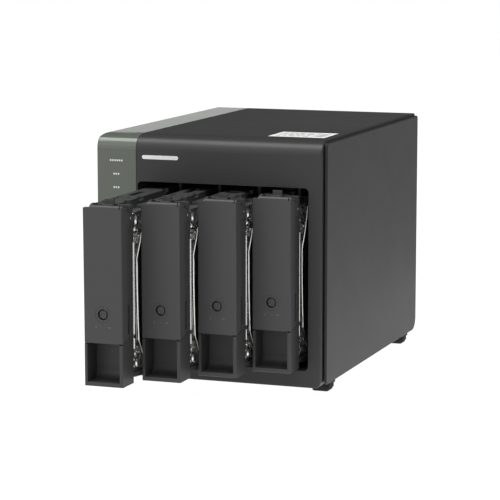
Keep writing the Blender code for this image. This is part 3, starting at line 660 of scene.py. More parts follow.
def strip_holes(grow):
    cutters = [rod((BUTTON_X, z), radius + grow, "Y", -1.0, 6.0) for _, _, z, radius in BUTTONS]
    low = (BUTTON_X - 6.6 - grow, FRONT_SOCKET_Z - 2.9 - grow)
    high = (BUTTON_X + 6.6 + grow, FRONT_SOCKET_Z + 2.9 + grow)
    return cutters + [slab(low, high, 0.6, "Y", -1.0, 6.0, 4)]


def make_bezel():
    """The front skin right of the strip, with a thin wall that reaches behind the strip."""
    left = STRIP_RIGHT + GAP
    body = prism(front_view(HEIGHT + 5.0, 0.0), "Y", -5.0, SEAM_Y)
    clip(body, prism(outer_profile(DEPTH), "X", left, HALF_WIDTH))
    lip_top = SKIN_BOTTOM + 1.5
    inside = ([(SEAM_Y + 1.0, FRONT_CENTRE[1] + FRONT_RADIUS - SKIN)]
              + arc(FRONT_CENTRE, FRONT_RADIUS - SKIN, 90.0, 180.0, 10)
              + [(SKIN, lip_top), (SEAM_Y + 1.0, lip_top)])
    opening = slab(BAY_LOW, BAY_HIGH, BAY_RADIUS, "Y", -1.0, 8.0, 10)
    cut(body, prism(inside, "X", left - 1.0, SKIN_RIGHT - 2.0))
    cut(body, opening)
    wall_front, wall_top = STRIP_SKIN + GAP, 156.0
    wall = slab((SKIN_LEFT, SKIN_BOTTOM), (left + 0.5, wall_top), (FOOT_RADIUS, 0.0, 0.0, 0.0), "Y",
                wall_front, wall_front + 2.0, 8)
    cheek = block((SKIN_LEFT, wall_front + 0.5, SKIN_BOTTOM + FOOT_RADIUS),
                  (SKIN_LEFT + 2.0, SEAM_Y, wall_top))
    lip = block((SKIN_LEFT + FOOT_RADIUS, wall_front + 0.5, SKIN_BOTTOM), (left + 0.5, SEAM_Y, lip_top))
    join(body, wall, cheek, lip)
    cut(body, *strip_holes(0.4))
    bevel_edges(body, RIM, on_rim, 5)
    return soften(body, 0.22)


def make_strip():
    """The green-grey band: down the front and back over the whole top."""
    profile = outer_profile(DEPTH)[:-2]
    rear = arc((DEPTH - RIM, HEIGHT - RIM), RIM, 90.0, 0.0, 5)
    inner = (arc(FRONT_CENTRE, FRONT_RADIUS - STRIP_SKIN, 90.0, 180.0, 10) + [(STRIP_SKIN, 0.0)])
    outline = (profile + rear + [(DEPTH, HEIGHT - STRIP_SKIN),
                                 (CROWN_CENTRE[0], HEIGHT - STRIP_SKIN)] + inner)
    strip = prism(outline, "X", -HALF_WIDTH, STRIP_RIGHT)
    clip(strip, prism(front_view(HEIGHT, TOP_RADIUS), "Y", -5.0, DEPTH + 5.0))
    bevel_edges(strip, 0.8, on_rim, 4)
    cut(strip, *strip_holes(GAP))
    return soften(strip, 0.2)


def make_top():
    """The folded top cover, with a ledge under the strip and a skirt on each side."""
    side, under = SKIN_RIGHT, HEIGHT - 2.0
    skirt, ledge_top, ledge = 158.0, HEIGHT - STRIP_SKIN - GAP, 164.9
    inner = STRIP_RIGHT + 1.8
    outline = ([(STRIP_RIGHT + GAP, HEIGHT)]
               + arc((side - RIM, HEIGHT - RIM), RIM, 90.0, 0.0, 6)
               + [(side, skirt), (side - 2.0, skirt), (side - 2.0, under), (inner, under),
                  (inner, ledge), (SKIN_LEFT + 2.0, ledge), (SKIN_LEFT + 2.0, skirt),
                  (SKIN_LEFT, skirt), (SKIN_LEFT, ledge_top),
                  (STRIP_RIGHT + GAP, ledge_top)])
    cover = prism(outline, "Y", SEAM_Y + GAP, DEPTH)
    clip(cover, prism(outer_profile(DEPTH + 1.0), "X", -HALF_WIDTH - 5.0, HALF_WIDTH + 5.0))
    cut(cover, block((-HALF_WIDTH, 0.0, HEIGHT - 3.4),
                     (STRIP_RIGHT + GAP, CROWN_CENTRE[0] + 0.5, HEIGHT + 1.0)))
    label_room = rounded((LABEL_LOW[0] - 0.1, LABEL_LOW[1] - 0.1),
                         (LABEL_HIGH[0] + 0.1, LABEL_HIGH[1] + 0.1), 1.3)
    bevel_edges(cover, RIM - 0.2, lambda x, y, z: y > DEPTH - 0.05 and z > HEIGHT - 0.05, 4)
    soften(cover, 0.2)
    return cut(cover, prism(label_room, "Z", HEIGHT - 0.12, HEIGHT + 1.0))


def make_side_panel(node, front_radius):
    low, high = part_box(node)
    outline = rounded((low.y / MM - FRONT, low.z / MM), (high.y / MM - FRONT, high.z / MM),
                      (3.5, 9.0, 2.0, front_radius), 10)
    panel = prism(outline, "X", low.x / MM, high.x / MM)
    bevel_edges(panel, 1.0, lambda x, y, z: abs(x) > HALF_WIDTH - 0.05, 4)
    return soften(panel, 0.15)


def make_button(radius):
    """A domed cap with a fine ring, and its stem."""
    profile = ((radius - 1.5, 0.12), (radius - 1.35, 0.02), (radius - 0.5, 0.0),
               (radius - 0.12, 0.14), (radius, 0.5), (radius, 3.0))
    cap = turned((BUTTON_X, 0.0), profile, "Y", 64)
    return join(cap, rod((BUTTON_X, 0.0), radius * 0.45, "Y", 2.5, 13.0))


def build_front():
    case_piece(make_bezel(), "bezel", "bezel", ("front_bezel",))
    case_piece(make_strip(), "strip", "strip", ("accent_strip",))
    case_piece(make_top(), "top_skin", "top", ("top_cover",))
    for side, front_radius in (("right", 2.5), ("left", 8.5)):
        node = f"side_panel_{side}"
        case_piece(make_side_panel(node, front_radius), f"panel_{side}", "panel", (node,))
    squares = []
    for z, count in STATUS_MARKS:
        for step in range(count):
            x = STATUS_X + (step - (count - 1) / 2.0) * 1.6
            squares.append(prism(pill((x, z), 1.05, 1.3, 3), "Y", -0.04, 0.3))
    case_piece(soften(gather(squares), 0.02, 1), "status_marks", "print")
    bar = prism(pill((-34.7, 154.4), 25.7, 2.6), "Y", -0.05, 0.3)
    case_piece(soften(bar, 0.02, 1), "front_bar", "print")
    cap_origin = case_origin() + Vector((0.0, -CAP_PROUD * MM, 0.0))
    for name, body, z, radius in BUTTONS:
        cap = make_button(radius)
        cap.data.transform(Matrix.Translation((0.0, 0.0, z * MM)))
        cap.data.shade_smooth()
        cap.data.set_sharp_from_angle(angle=math.radians(35.0))
        show(cap, f"{name}_cap", body, "button", cap_origin, (name,))
        mark = prism(pill((BUTTON_X, z), radius * 0.16, radius * 0.62), "Y", 0.08, 0.3)
        show(soften(mark, 0.02, 1), f"{name}_mark", body, "print", cap_origin)


def build_label():
    """A paper label on the top cover, with plain bars in place of its text."""
    low, high = LABEL_LOW, LABEL_HIGH
    case_piece(soften(slab(low, high, 1.2, "Z", HEIGHT - 0.2, HEIGHT - 0.04), 0.02, 1), "top_label",
               "paper", slot="label")
    dice = random.Random(7)
    bars = []
    for row in range(7):
        y = low[1] + 5.0 + row * 3.6
        x = low[0] + 3.0
        while x < high[0] - 14.0:
            length = dice.uniform(2.0, 7.0)
            bars.append(slab((x, y), (x + length, y + 1.1), 0.3, "Z", HEIGHT - 0.1, HEIGHT - 0.01, 2))
            x += length + 1.2
    for step in range(7):
        x = high[0] - 11.0 + step * 1.25
        width = dice.uniform(0.3, 0.8)
        bars.append(slab((x, low[1] + 6.0), (x + width, low[1] + 24.0), 0.0, "Z", HEIGHT - 0.1,
                         HEIGHT - 0.01))
    case_piece(gather(bars), "top_label_bars", "ink", slot="print")


# ------------------------------------------------------------------- trays

def make_tray_frame():
    """Front block with its finger pocket, the spine behind the lever, rails and a back bar."""
    half, rail_half = HALF_TRAY, 12.6
    sill = prism([(0.0, TRAY_BOTTOM), (BLOCK_DEPTH, TRAY_BOTTOM), (BLOCK_DEPTH, 49.3),
                  (FLANGE_DEPTH, 49.3), (0.0, 46.7)], "X", -half, half)
    bevel_edges(sill, 0.7, lambda x, y, z: y < 0.05, 4)
    plate_front = FLANGE_DEPTH + 0.4
    plate = block((-half, plate_front, 46.0), (half, BLOCK_DEPTH, TRAY_TOP))
    spine_front, spine_back = 2.4, FLANGE_DEPTH + 1.0
    crown = PIVOT[0] - spine_front
    spine = prism([(spine_back, 46.0), (spine_front, 46.0)] + arc(PIVOT, crown, 180.0, 90.0, 16)
                  + [(spine_back, PIVOT[1] + crown)], "X", -11.4, 11.4)
    ear = prism([(spine_back, 120.0)] + arc(PIVOT, 9.4, 160.0, 60.0, 16)
                + [(spine_back, 133.0)], "X", -10.2, -8.4)
    rail_front, over = BLOCK_DEPTH - 1.0, DRIVE_TOP + GAP
    rail_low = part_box("drive_cage")[0].z / MM + RAIL_OVER_CAGE
    lower_rail = prism([(rail_front, 24.2), (29.0, rail_low), (RAIL_END, rail_low),
                        (RAIL_END, DRIVE_BOTTOM - GAP), (rail_front, DRIVE_BOTTOM - GAP)],
                       "X", -rail_half, rail_half)
    upper_rail = block((-rail_half, rail_front, over), (RAIL_RIGHT, RAIL_END, TRAY_TOP))
    shelf = block((RAIL_RIGHT - 1.0, 46.0, over), (rail_half, RAIL_END, over + 1.4))
    bar = block((8.5, DRIVE_BACK + 0.4, DRIVE_BOTTOM - 2.0),
                (rail_half - 0.2, RAIL_END - 0.2, over + 1.0))
    body = join(sill, plate, spine, ear, lower_rail, upper_rail, shelf, bar)
    hook_half = 3.6
    hook_room = arc(PIVOT, 13.2, -10.0, 112.0, 16) + arc(PIVOT, 6.6, 112.0, -10.0, 10)
    pocket_top = 52.0
    pocket = ([(-1.0, 22.5)] + arc((9.0, 28.5), 6.0, 270.0, 360.0, 12)
              + [(15.0, pocket_top), (-1.0, pocket_top)])
    cutters = [prism(pocket, "X", -10.95, 10.95), slab((40.0, rail_low - 1.0), (150.0, rail_low + 1.2),
                                                       0.0, "X", 7.0, 11.0),
               slab((-8.5, 59.0), (-4.0, 82.0), 2.2, "Z", TRAY_TOP - 3.0, TRAY_TOP + 1.0, 8),
               prism(hook_room, "X", -hook_half, hook_half),
               rod(PIVOT, 1.7, "X", -half - 1.0, half + 1.0), rod((0.0, LOCK_Z), 4.6, "Y", 0.0, 10.0), ]
    for start in (29.0, 51.0, 94.0):
        notch = [(RAIL_RIGHT + 1.0, start), (RAIL_RIGHT - 2.4, start + 1.6),
                 (RAIL_RIGHT - 2.4, start + 7.0), (RAIL_RIGHT + 1.0, start + 8.0)]
        cutters.append(prism(notch, "Z", TRAY_TOP - 2.2, TRAY_TOP + 1.0))
    for start in (22.0, 106.0):
        outline = rounded((-10.6, start), (-1.4, start + 30.0), 1.2)
        cutters.append(prism(outline, "Z", TRAY_TOP - 0.5, TRAY_TOP + 1.0))
    for z in (31.0, 121.0):
        cutters.append(turned((30.0, z), ((2.6, half - 1.6), (2.6, half)), "X", 32))
    cutters.append(rod(RIVET, 1.4, "X", half - 0.5, half + 1.0, 24))
    cut(body, *cutters)
    soften(body, 0.25)
    for vertex in body.data.vertices:
        vertex.co.y = max(vertex.co.y, 0.0)
    return body


def lever_side():
    """Side view of a lever's flange, from its lower front corner upwards."""
    lip = LEVER_TOP - 1.5
    return ([(0.0, LEVER_BOTTOM), (FLANGE_DEPTH, LEVER_BOTTOM + 2.6), (FLANGE_DEPTH, PIVOT[1])]
            + arc(PIVOT, 4.9, 0.0, 90.0, 14) + [(4.0, LEVER_TOP - 1.8), (4.0, LEVER_TOP)]
            + arc((1.5, lip), 1.5, 90.0, 180.0, 8))


def make_lever():
    """The flap: a front plate, two flanges, a beaded top lip with its hook, and small marks."""
    half, inner = HALF_TRAY, HALF_TRAY - 1.3
    body = prism(lever_side(), "X", -half, half)
    bevel_edges(body, 0.9, lambda x, y, z: abs(x) > half - 0.02 and y < 0.02, 5)
    ceiling = LEVER_TOP - 1.8
    cut(body, block((-inner, 2.0, LEVER_BOTTOM - 5.0), (inner, FLANGE_DEPTH + 5.0, ceiling)))
    hook = prism([(3.2, ceiling - 0.4), (12.9, ceiling - 0.4), (12.9, HOOK_TOP),
                  (11.4, HOOK_TOP), (11.4, LEVER_TOP - 0.3), (3.2, LEVER_TOP - 0.3)],
                 "X", -3.1, 3.1)
    join(body, hook)
    ring = cut(rod((0.0, LOCK_Z), 5.3, "Y", -0.5, 0.25, 64), rod((0.0, LOCK_Z), 4.95, "Y", -1.0, 1.0, 64))
    rooms = both_sides(rounded((CHEEK_FRONT, 40.0), (14.5, CHEEK_TOP), 0.0), half - 0.95, half + 1.0)
    cut(body, ring, *rooms, side_slot(), *make_marks(0.12, -1.0, 0.4),
        rod(PIVOT, 1.7, "X", 0.8 - half, half - 0.8),
        rod((0.0, LOCK_Z), 3.5, "Y", -1.0, 3.0, 64),
        block((11.3, -1.0, LEVER_TOP - 2.2), (11.9, 3.2, LEVER_TOP + 1.0)),
        block((-half - 1.0, -1.0, LEVER_TOP - 1.5), (-8.0, 4.5, LEVER_TOP + 1.0)),
        block((10.9, -1.0, LEVER_BOTTOM - 1.0), (12.2, 3.0, LEVER_BOTTOM + 0.8)))
    return soften(body, 0.2)


def side_slot():
    """The long slot through both sides of a lever."""
    return slab((9.3, 51.5), (12.4, 71.4), 1.4, "X", -HALF_TRAY - 1.0, HALF_TRAY + 1.0, 8)


def make_cheeks():
    """The darker sides of the lever behind its front plate, each with a long groove."""
    half, front, top = HALF_TRAY, CHEEK_FRONT + 0.15, CHEEK_TOP - 0.15
    outline = [(front, LEVER_BOTTOM + 1.75), (FLANGE_DEPTH, LEVER_BOTTOM + 2.6),
               (FLANGE_DEPTH, top), (front, top)]
    cheeks = [cut(cheek, side_slot()) for cheek in both_sides(outline, half - 1.0, half - 0.02)]
    return soften(gather(cheeks), 0.08, 2)


def make_marks(grow, start, end):
    """Three small marks under the lock, in place of the real ones."""
    marks = []
    for x, width, height in ((-4.7, 1.7, 1.9), (0.0, 0.7, 1.9), (4.2, 2.6, 1.5)):
        wide, tall = width / 2.0 + grow, height / 2.0 + grow
        marks.append(slab((x - wide, MARK_Z - tall), (x + wide, MARK_Z + tall), 0.3, "Y", start, end, 4))
    return marks


def make_lock():
    barrel = turned((0.0, LOCK_Z), ((2.9, 1.3), (3.2, 1.5), (3.3, 1.9), (3.3, 6.5)), "Y", 64)
    return soften(barrel, 0.08)


def make_lock_boss():
    """The rounded square face of the lock with a shallow key recess."""
    middle = LOCK_Z
    boss = slab((-2.25, middle - 2.25), (2.25, middle + 2.25), 1.0, "Y", 0.25, 2.0, 8)
    bevel_edges(boss, 0.35, lambda x, y, z: y < 0.3, 3)
    cut(boss, slab((-1.25, middle - 1.25), (1.25, middle + 1.25), 0.4, "Y", 0.0, 0.6, 6))
    return soften(boss, 0.08)


# ------------------------------------------------------------------ drives

def lid_outline(inset):
    """The lid's outline: its front edge is bowed and its front corners are cut back."""
    front = DRIVE_FRONT + 5.0 + inset
    low, high, back = 29.5 + inset, 124.5 - inset, DRIVE_BACK - 3.0 - inset
    bow = []
    for step in range(22):
        z = 45.5 + 2.5 * step
        bow.append((front + 0.0012 * (z - 90.0) ** 2, z))
    return ([(front + 11.0, low), (front + 9.8, low + 3.5), (front + 6.3, 40.0)] + bow
            + [(front + 5.8, 108.0), (front + 9.6, 118.0), (front + 11.5, high),
               (back - 3.0, high), (back, high - 3.0), (back, low + 3.0), (back - 3.0, low)])


def make_lid():
    """A stamped lid: a bevelled rim, a step down inside it, and pressed shapes."""
    steps = ((0.0, 11.9), (0.0, 12.0), (0.08, 12.3), (0.25, 12.55), (0.5, 12.73),
             (0.85, 12.82), (1.2, 12.85), (3.4, 12.85), (3.9, 12.45))
    lid = loft([lid_outline(inset) for inset, _ in steps], "X", [place for _, place in steps])
    top = 12.45
    disc = cut(rod(MOTOR, 34.0, "X", top - 0.25, 13.5, 96), rod(MOTOR, 32.4, "X", top - 1.0, 14.0, 96))
    hub = cut(rod(MOTOR, 9.5, "X", top - 0.25, 13.5, 64), rod(MOTOR, 8.3, "X", top - 1.0, 14.0, 64))
    arm = slab((122.0, 36.0), (156.0, 64.0), 8.0, "X", top - 0.25, 13.5, 8)
    arm_inside = slab((123.4, 37.4), (154.6, 62.6), 6.8, "X", top - 1.0, 14.0, 8)
    cut(lid, disc, hub, cut(arm, arm_inside))
    return soften(lid, 0.1, 2, 25.0)


def make_casting():
    """The drive's body: open corners with bosses in front, room for the board on the left."""
    outline = rounded((DRIVE_FRONT, DRIVE_BOTTOM), (DRIVE_BACK, DRIVE_TOP), 2.0)
    body = prism(outline, "X", DRIVE_LEFT, CASTING_RIGHT)
    inner, past = CASTING_RIGHT - 4.2, CASTING_RIGHT + 1.0
    corner_top = [(22.3, 126.4), (22.3, 107.6), (29.5, 107.6), (35.6, 119.5), (35.6, 126.4)]
    corner_low = [(22.3, 42.0), (22.3, 27.6), (36.0, 27.6), (35.0, 33.0), (29.0, 42.0)]
    cut(body,
        prism(corner_top, "X", inner, past), prism(corner_low, "X", inner, past),
        block((inner + 1.2, 22.5, 40.0), (past, 25.4, 109.0)),
        block((DRIVE_LEFT - 1.0, 70.0, 30.0), (DRIVE_LEFT + 2.2, 160.0, 124.0)),
        block((DRIVE_LEFT - 1.0, 160.6, 30.0), (-5.4, DRIVE_BACK + 1.0, 66.0)),
        rod(MOTOR, 30.0, "X", DRIVE_LEFT - 1.0, DRIVE_LEFT + 1.0, 64))
    bosses = []
    for y, z, radius, proud in ((27.6, 122.4, 3.4, 0.9), (25.2, 117.0, 1.7, 0.5),
                                (24.2, 111.6, 1.4, 0.0), (31.6, 113.2, 1.3, 0.0),
                                (26.8, 31.4, 3.1, 0.9), (24.2, 37.6, 1.3, 0.3)):
        top = CASTING_RIGHT + proud
        bosses.append(turned((y, z), ((radius, inner - 0.5), (radius, top - 0.8),
                                      (radius - 0.8, top)), "X", 32))
    ribs = ([(28.8, 116.4), (29.8, 115.2), (35.4, 119.0), (34.6, 120.4)],
            [(22.0, 34.6), (22.0, 33.2), (27.0, 35.0), (26.6, 36.2)],
            [(22.2, 30.4), (22.2, 29.0), (25.2, 27.2), (25.8, 28.2)],
            [(30.2, 27.6), (31.6, 27.6), (32.0, 33.8), (30.8, 33.6)])
    for rib in ribs:
        bosses.append(prism(rib, "X", inner - 0.5, CASTING_RIGHT + 0.3))
    bosses.append(block((inner, 21.0, 47.8), (CASTING_RIGHT + 0.8, 24.2, 50.4)))
    bosses.append(rod((CASTING_RIGHT, 22.2), 0.62, "Z", 41.0, 109.0, 24))
    join(body, *bosses)
    holes = [rod((y, z), 1.7, "X", inner - 2.0, past, 32) for y, z in ((27.6, 122.4), (26.8, 31.4))]
    for y in (41.0, 85.0, 143.0):
        for start, end in ((DRIVE_TOP - 2.5, DRIVE_TOP + 1.0), (25.0, DRIVE_BOTTOM + 2.5)):
            holes.append(rod((-6.05, y), 1.6, "Z", start, end, 24))
    holes.append(rod(MOTOR, 13.0, "X", DRIVE_LEFT - 1.0, DRIVE_LEFT + 2.0, 64))
    cut(body, *holes)
    hub = turned(MOTOR, ((11.0, DRIVE_LEFT + 2.4), (11.0, DRIVE_LEFT + 0.5),
                         (10.4, DRIVE_LEFT + 0.2), (4.0, DRIVE_LEFT + 0.2),
                         (3.6, DRIVE_LEFT + 0.7), (2.0, DRIVE_LEFT + 0.8)), "X", 64)
    join(body, hub)
    return soften(body, 0.3)


def make_drive_board():
    board = slab((70.4, 30.4), (159.6, 123.6), 1.2, "X", -12.2, -10.6)
    cut(board, rod(MOTOR, 20.0, "X", -14.0, -9.0, 64),
        slab((90.0, 27.0), (112.0, 40.0), 2.0, "X", -14.0, -9.0))
    return soften(board, 0.08, 1)


def make_chips():
    """Packages on the drive's board, each with a small dimple near one corner, and small parts among
    them.
    """
    made = []
    for y, z, width, height, proud in ((124.0, 84.0, 14.0, 14.0, 0.65),
                                       (146.0, 98.0, 10.0, 7.0, 0.55),
                                       (110.0, 108.0, 7.0, 7.0, 0.5),
                                       (128.0, 50.0, 9.0, 5.0, 0.5),
                                       (148.0, 74.0, 6.0, 4.0, 0.4)):
        low, high = (y - width / 2.0, z - height / 2.0), (y + width / 2.0, z + height / 2.0)
        chip = slab(low, high, 0.4, "X", -12.2 - proud, -12.1, 3)
        dot = rod((low[0] + 1.2, high[1] - 1.2), 0.4, "X", -14.0, -12.15 - proud, 16)
        made.append(cut(chip, dot))
    dice = random.Random(11)
    for _ in range(46):
        y, z = dice.uniform(98.0, 157.0), dice.uniform(42.0, 121.0)
        long = dice.choice((0.8, 1.0, 1.6))
        made.append(block((-12.5, y, z), (-12.1, y + long, z + 0.8)))
    return soften(gather(made), 0.06, 1)


def make_drive_plug():
    """The drive's own connector: a black shell with a keyed ledge down its middle."""
    shell = block((-12.2, 160.9, 31.0), (-10.2, 167.4, 65.0))
    ledge = block((-10.4, 162.0, 34.0), (-10.05, 167.0, 62.0))
    return soften(join(shell, ledge), 0.1, 1)


def make_drive_contacts():
    strips = []
    for group_start, count in ((35.0, 7), (45.5, 15)):
        for step in range(count):
            z = group_start + step * 1.05
            strips.append(block((-10.1, 162.6, z), (-9.98, 166.6, z + 0.6)))
    return gather(strips)


def build_trays():
    tray_pieces(make_tray_frame(), "tray", "tray", "tray_frame_{}")
    rivet = turned(RIVET, ((1.1, HALF_TRAY - 0.9), (1.1, HALF_TRAY - 0.35),
                           (0.8, HALF_TRAY - 0.12), (0.3, HALF_TRAY - 0.04)), "X", 32)
    tray_pieces(soften(rivet, 0.03, 1), "tray_rivet", "pin")
    pin_end = HALF_TRAY - 1.35
    pin = turned(PIVOT, ((1.1, -pin_end), (1.5, 0.4 - pin_end), (1.5, pin_end - 0.4),
                         (1.1, pin_end)), "X", 32)
    tray_pieces(soften(pin, 0.05, 1), "pin", "pin", "lever_pin_{}")
    tray_pieces(make_lever(), "flap", "lever", "lever_{}", body="lever_{}_body")
    tray_pieces(make_cheeks(), "flap_cheeks", "tray", body="lever_{}_body")
    marks = soften(gather(make_marks(0.0, 0.02, 0.4)), 0.04, 1)
    tray_pieces(marks, "flap_marks", "relief", body="lever_{}_body")
    tray_pieces(make_lock(), "lock_barrel", "lock", "key_lock_{}", body="lock_{}")
    tray_pieces(make_lock_boss(), "lock_boss", "lever", body="lock_{}")


def build_drives():
    tray_pieces(make_casting(), "drive_body", "casting", "drive_casting_{}")
    tray_pieces(make_lid(), "drive_cover", "lid", "drive_lid_{}")
    tray_pieces(make_drive_board(), "drive_laminate", "board", "drive_board_{}")
    tray_pieces(make_chips(), "drive_chips", "chip")
    tray_pieces(make_drive_plug(), "drive_plug", "contact")
    tray_pieces(make_drive_contacts(), "drive_contacts", "gold")
    lid_screws = screws(((41.5, 35.5), (42.5, 118.5), (98.0, 35.0), (98.0, 119.0),
                         (158.5, 35.5), (158.5, 118.5)), "X", 12.4, 1.0, 1.7, 0.55)
    tray_pieces(lid_screws, "lid_screws", "screw")
    board_screws = screws(((73.5, 33.5), (73.5, 120.5), (156.5, 120.5), (156.5, 33.5)),
                          "X", -12.2, -1.0, 1.9, 0.6)
    tray_pieces(board_screws, "board_screws", "screw")
    label = slab((50.0, 44.0), (116.0, 108.0), 2.0, "X", 12.42, 12.50)
    tray_pieces(soften(label, 0.02, 1), "drive_label", "paper")
    bars = []
    for row in range(9):
        z = 100.0 - 5.6 * row
        length = (52.0, 34.0, 46.0, 28.0, 40.0, 50.0, 22.0, 44.0, 30.0)[row]
        bars.append(slab((56.0, z), (56.0 + length, z + 1.6), 0.4, "X", 12.44, 12.52, 3))
    tray_pieces(gather(bars), "drive_label_bars", "ink")


# -------------------------------------------------------- back, fan, sockets

def reach(node):
    """A node's low and high corners in the case's frame, in millimetres."""
    low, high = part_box(node)
    return Vector(low) / MM - Vector((0, FRONT, 0)), Vector(high) / MM - Vector((0, FRONT, 0))


def ring_slot(radius, width, middle, span):
    steps = max(6, round(span / 4.0))
    start, end = middle - span / 2.0, middle + span / 2.0
    return (arc(FAN, radius + width / 2.0, start, end, steps)
            + arc(FAN, radius - width / 2.0, end, start, steps))


def make_rear_panel():
    """Painted sheet with a ring grille, vents, socket holes and a lock slot."""
    low, high = reach("rear_panel")
    outer, shoulder = high.x, NECK_FROM
    neck = outer - 2.5
    front, past = low.y - 1.0, high.y + 1.0
    outline = (arc((4.0 - outer, low.z + 4.0), 4.0, 180.0, 270.0, 8)
               + arc((outer - 4.0, low.z + 4.0), 4.0, 270.0, 360.0, 8)
               + [(outer, shoulder), (neck, shoulder), (neck, high.z),
                  (-neck, high.z), (-neck, shoulder), (-outer, shoulder)])
    panel = prism(outline, "Y", low.y, high.y)
    cutters = []
    for radius in GRILLE_RADII:
        bridge = math.degrees(4.0 / radius)
        for quarter in range(4):
            cutters.append(prism(ring_slot(radius, 5.0, 45.0 + 90.0 * quarter, 90.0 - bridge),
                                 "Y", front, past))
    for node in REAR_SOCKETS:
        start, end = reach(node)
        cutters.append(slab((start.x - GAP, start.z - GAP), (end.x + GAP, end.z + GAP), 0.4, "Y", front,
                            past, 3))
    for column in range(12):
        x = FAN[0] - 49.5 + 9.0 * column
        cutters.append(prism(pill((x, 151.5), 2.4, 8.0), "Y", front, past))
    cutters.append(slab((62.0, 13.5), (69.0, 16.5), 1.2, "Y", front, past))
    cutters.append(rod((BUTTON_X, RESET_Z), 1.6, "Y", front, past, 32))
    cutters.append(cut(rod(FAN, 62.4, "Y", high.y - 0.25, past, 96),
                       rod(FAN, 61.8, "Y", front, past + 1.0, 96)))
    cut(panel, *cutters)
    return soften(panel, 0.15)


def make_fan_frame():
    """Two square flanges joined by a round duct, corner posts and a hub on four arms."""
    low, high = reach("fan_frame")
    duct = rod(FAN, 59.4, "Y", low.y, high.y, 96)
    square = rounded((low.x, low.z), (high.x, high.z), 5.0)
    parts = [prism(square, "Y", low.y, low.y + 4.0), prism(square, "Y", high.y - 4.0, high.y)]
    parts += [rod(corner, 4.6, "Y", low.y + 1.0, high.y - 1.0, 32) for corner in FAN_CORNERS]
    join(duct, *parts)
    cut(duct, rod(FAN, 57.0, "Y", low.y - 1.0, high.y + 1.0, 96),
        *[rod(corner, 2.2, "Y", low.y - 1.0, high.y + 1.0, 24) for corner in FAN_CORNERS])
    arms = []
    for turn in (8.0, 98.0, 188.0, 278.0):
        start = arc(FAN, 16.0, turn, turn, 1)[0]
        end = arc(FAN, 58.4, turn + 14.0, turn + 14.0, 1)[0]
        along = Vector((end[0] - start[0], end[1] - start[1])).normalized()
        side = Vector((-along.y, along.x)) * 1.5
        arms.append(prism([(start[0] + side.x, start[1] + side.y),
                           (start[0] - side.x, start[1] - side.y),
                           (end[0] - side.x, end[1] - side.y),
                           (end[0] + side.x, end[1] + side.y)], "Y", high.y - 3.4, high.y - 0.2))
    hub = turned(FAN, ((19.0, high.y - 3.4), (19.0, high.y - 0.9), (18.3, high.y - 0.2)), "Y", 64)
    join(duct, hub, *arms)
    return soften(duct, 0.3)


def make_fan_rotor():
    """A cup-shaped hub with seven twisted blades, about its own axis."""
    depth = 20.5
    hub = turned((0.0, 0.0), ((18.0, 1.5), (19.4, 2.1), (20.0, 3.6), (20.0, depth)), "Y", 64)
    cut(hub, rod((0.0, 0.0), 18.0, "Y", 6.0, depth + 1.0, 64))
    soften(hub, 0.2)
    blades = []
    steps = 10
    for number in range(FAN_BLADES):
        made = bmesh.new()
        loops = []
        for step in range(steps + 1):
            share = step / steps
            radius = BLADE_ROOT + share * (BLADE_TIP - BLADE_ROOT)
            turn = 2.0 * math.pi * number / FAN_BLADES + 0.45 * share
            span = 0.36 - 0.08 * share
            front, rear = 4.0 + 1.5 * share, depth - 1.0
            ring = []
            for chord in (-1.0, -0.5, 0.0, 0.5, 1.0, 1.0, 0.5, 0.0, -0.5, -1.0):
                lower = len(ring) > 4
                bulge = 1.6 * (1.0 - chord * chord)
                place = (front + rear) / 2.0 + chord * (rear - front) / 2.0 - bulge
                angle = turn + span * chord
                place -= 1.6 if lower else 0.0
                ring.append(made.verts.new((radius * math.cos(angle) * MM, place * MM,
                                            radius * math.sin(angle) * MM)))
            loops.append(ring)
        close_loops(made, loops)
        bmesh.ops.triangulate(made, faces=made.faces)
        blades.append(as_object(made))
    join(hub, *blades)
    hub.data.shade_smooth()
    hub.data.set_sharp_from_angle(angle=math.radians(35.0))
    return hub


def socket_block(node, edge):
    """A node's whole box with its outer face rounded, and the box's corners."""
    low, high = reach(node)
    body = block(tuple(low), tuple(high))
    return bevel_edges(body, edge, lambda x, y, z: y > high.y - 0.02, 3), low, high


def make_jack_shell(node):
    shell, low, high = socket_block(node, 0.5)
    windows = []
    for z in (low.z + 3.6, high.z - 5.6):
        windows.append(slab((high.y - 8.0, z), (high.y - 3.0, z + 2.0), 0.3, "X", high.x - 0.3,
                            high.x + 1.0, 3))
    cut(shell, block((low.x + 0.5, high.y - 17.0, low.z + 0.5),
                     (high.x - 0.5, high.y + 1.0, high.z - 0.5)), *windows)
    return soften(shell, 0.08, 1)


def make_jack_insert(node):
    """The black inside of a network socket: a keyed opening with two light windows."""
    low, high = reach(node)
    middle, past = (low.z + high.z) / 2.0, high.y + 1.0
    insert = block((low.x + 0.6, high.y - 16.8, low.z + 0.6), (high.x - 0.6, high.y - 0.35, high.z - 0.6))
    cut(insert,
        block((low.x + 3.6, high.y - 13.0, low.z + 2.2), (high.x - 1.6, past, high.z - 2.2)),
        block((low.x + 2.4, high.y - 10.0, middle - 3.3), (low.x + 4.0, past, middle + 3.3)),
        block((low.x + 1.2, high.y - 9.0, middle - 2.1), (low.x + 2.8, past, middle + 2.1)),
        block((low.x + 1.1, high.y - 2.0, low.z + 1.1), (low.x + 3.0, past, low.z + 3.6)),
        block((low.x + 1.1, high.y - 2.0, high.z - 3.6), (low.x + 3.0, past, high.z - 1.1)))
    return soften(insert, 0.08, 1)


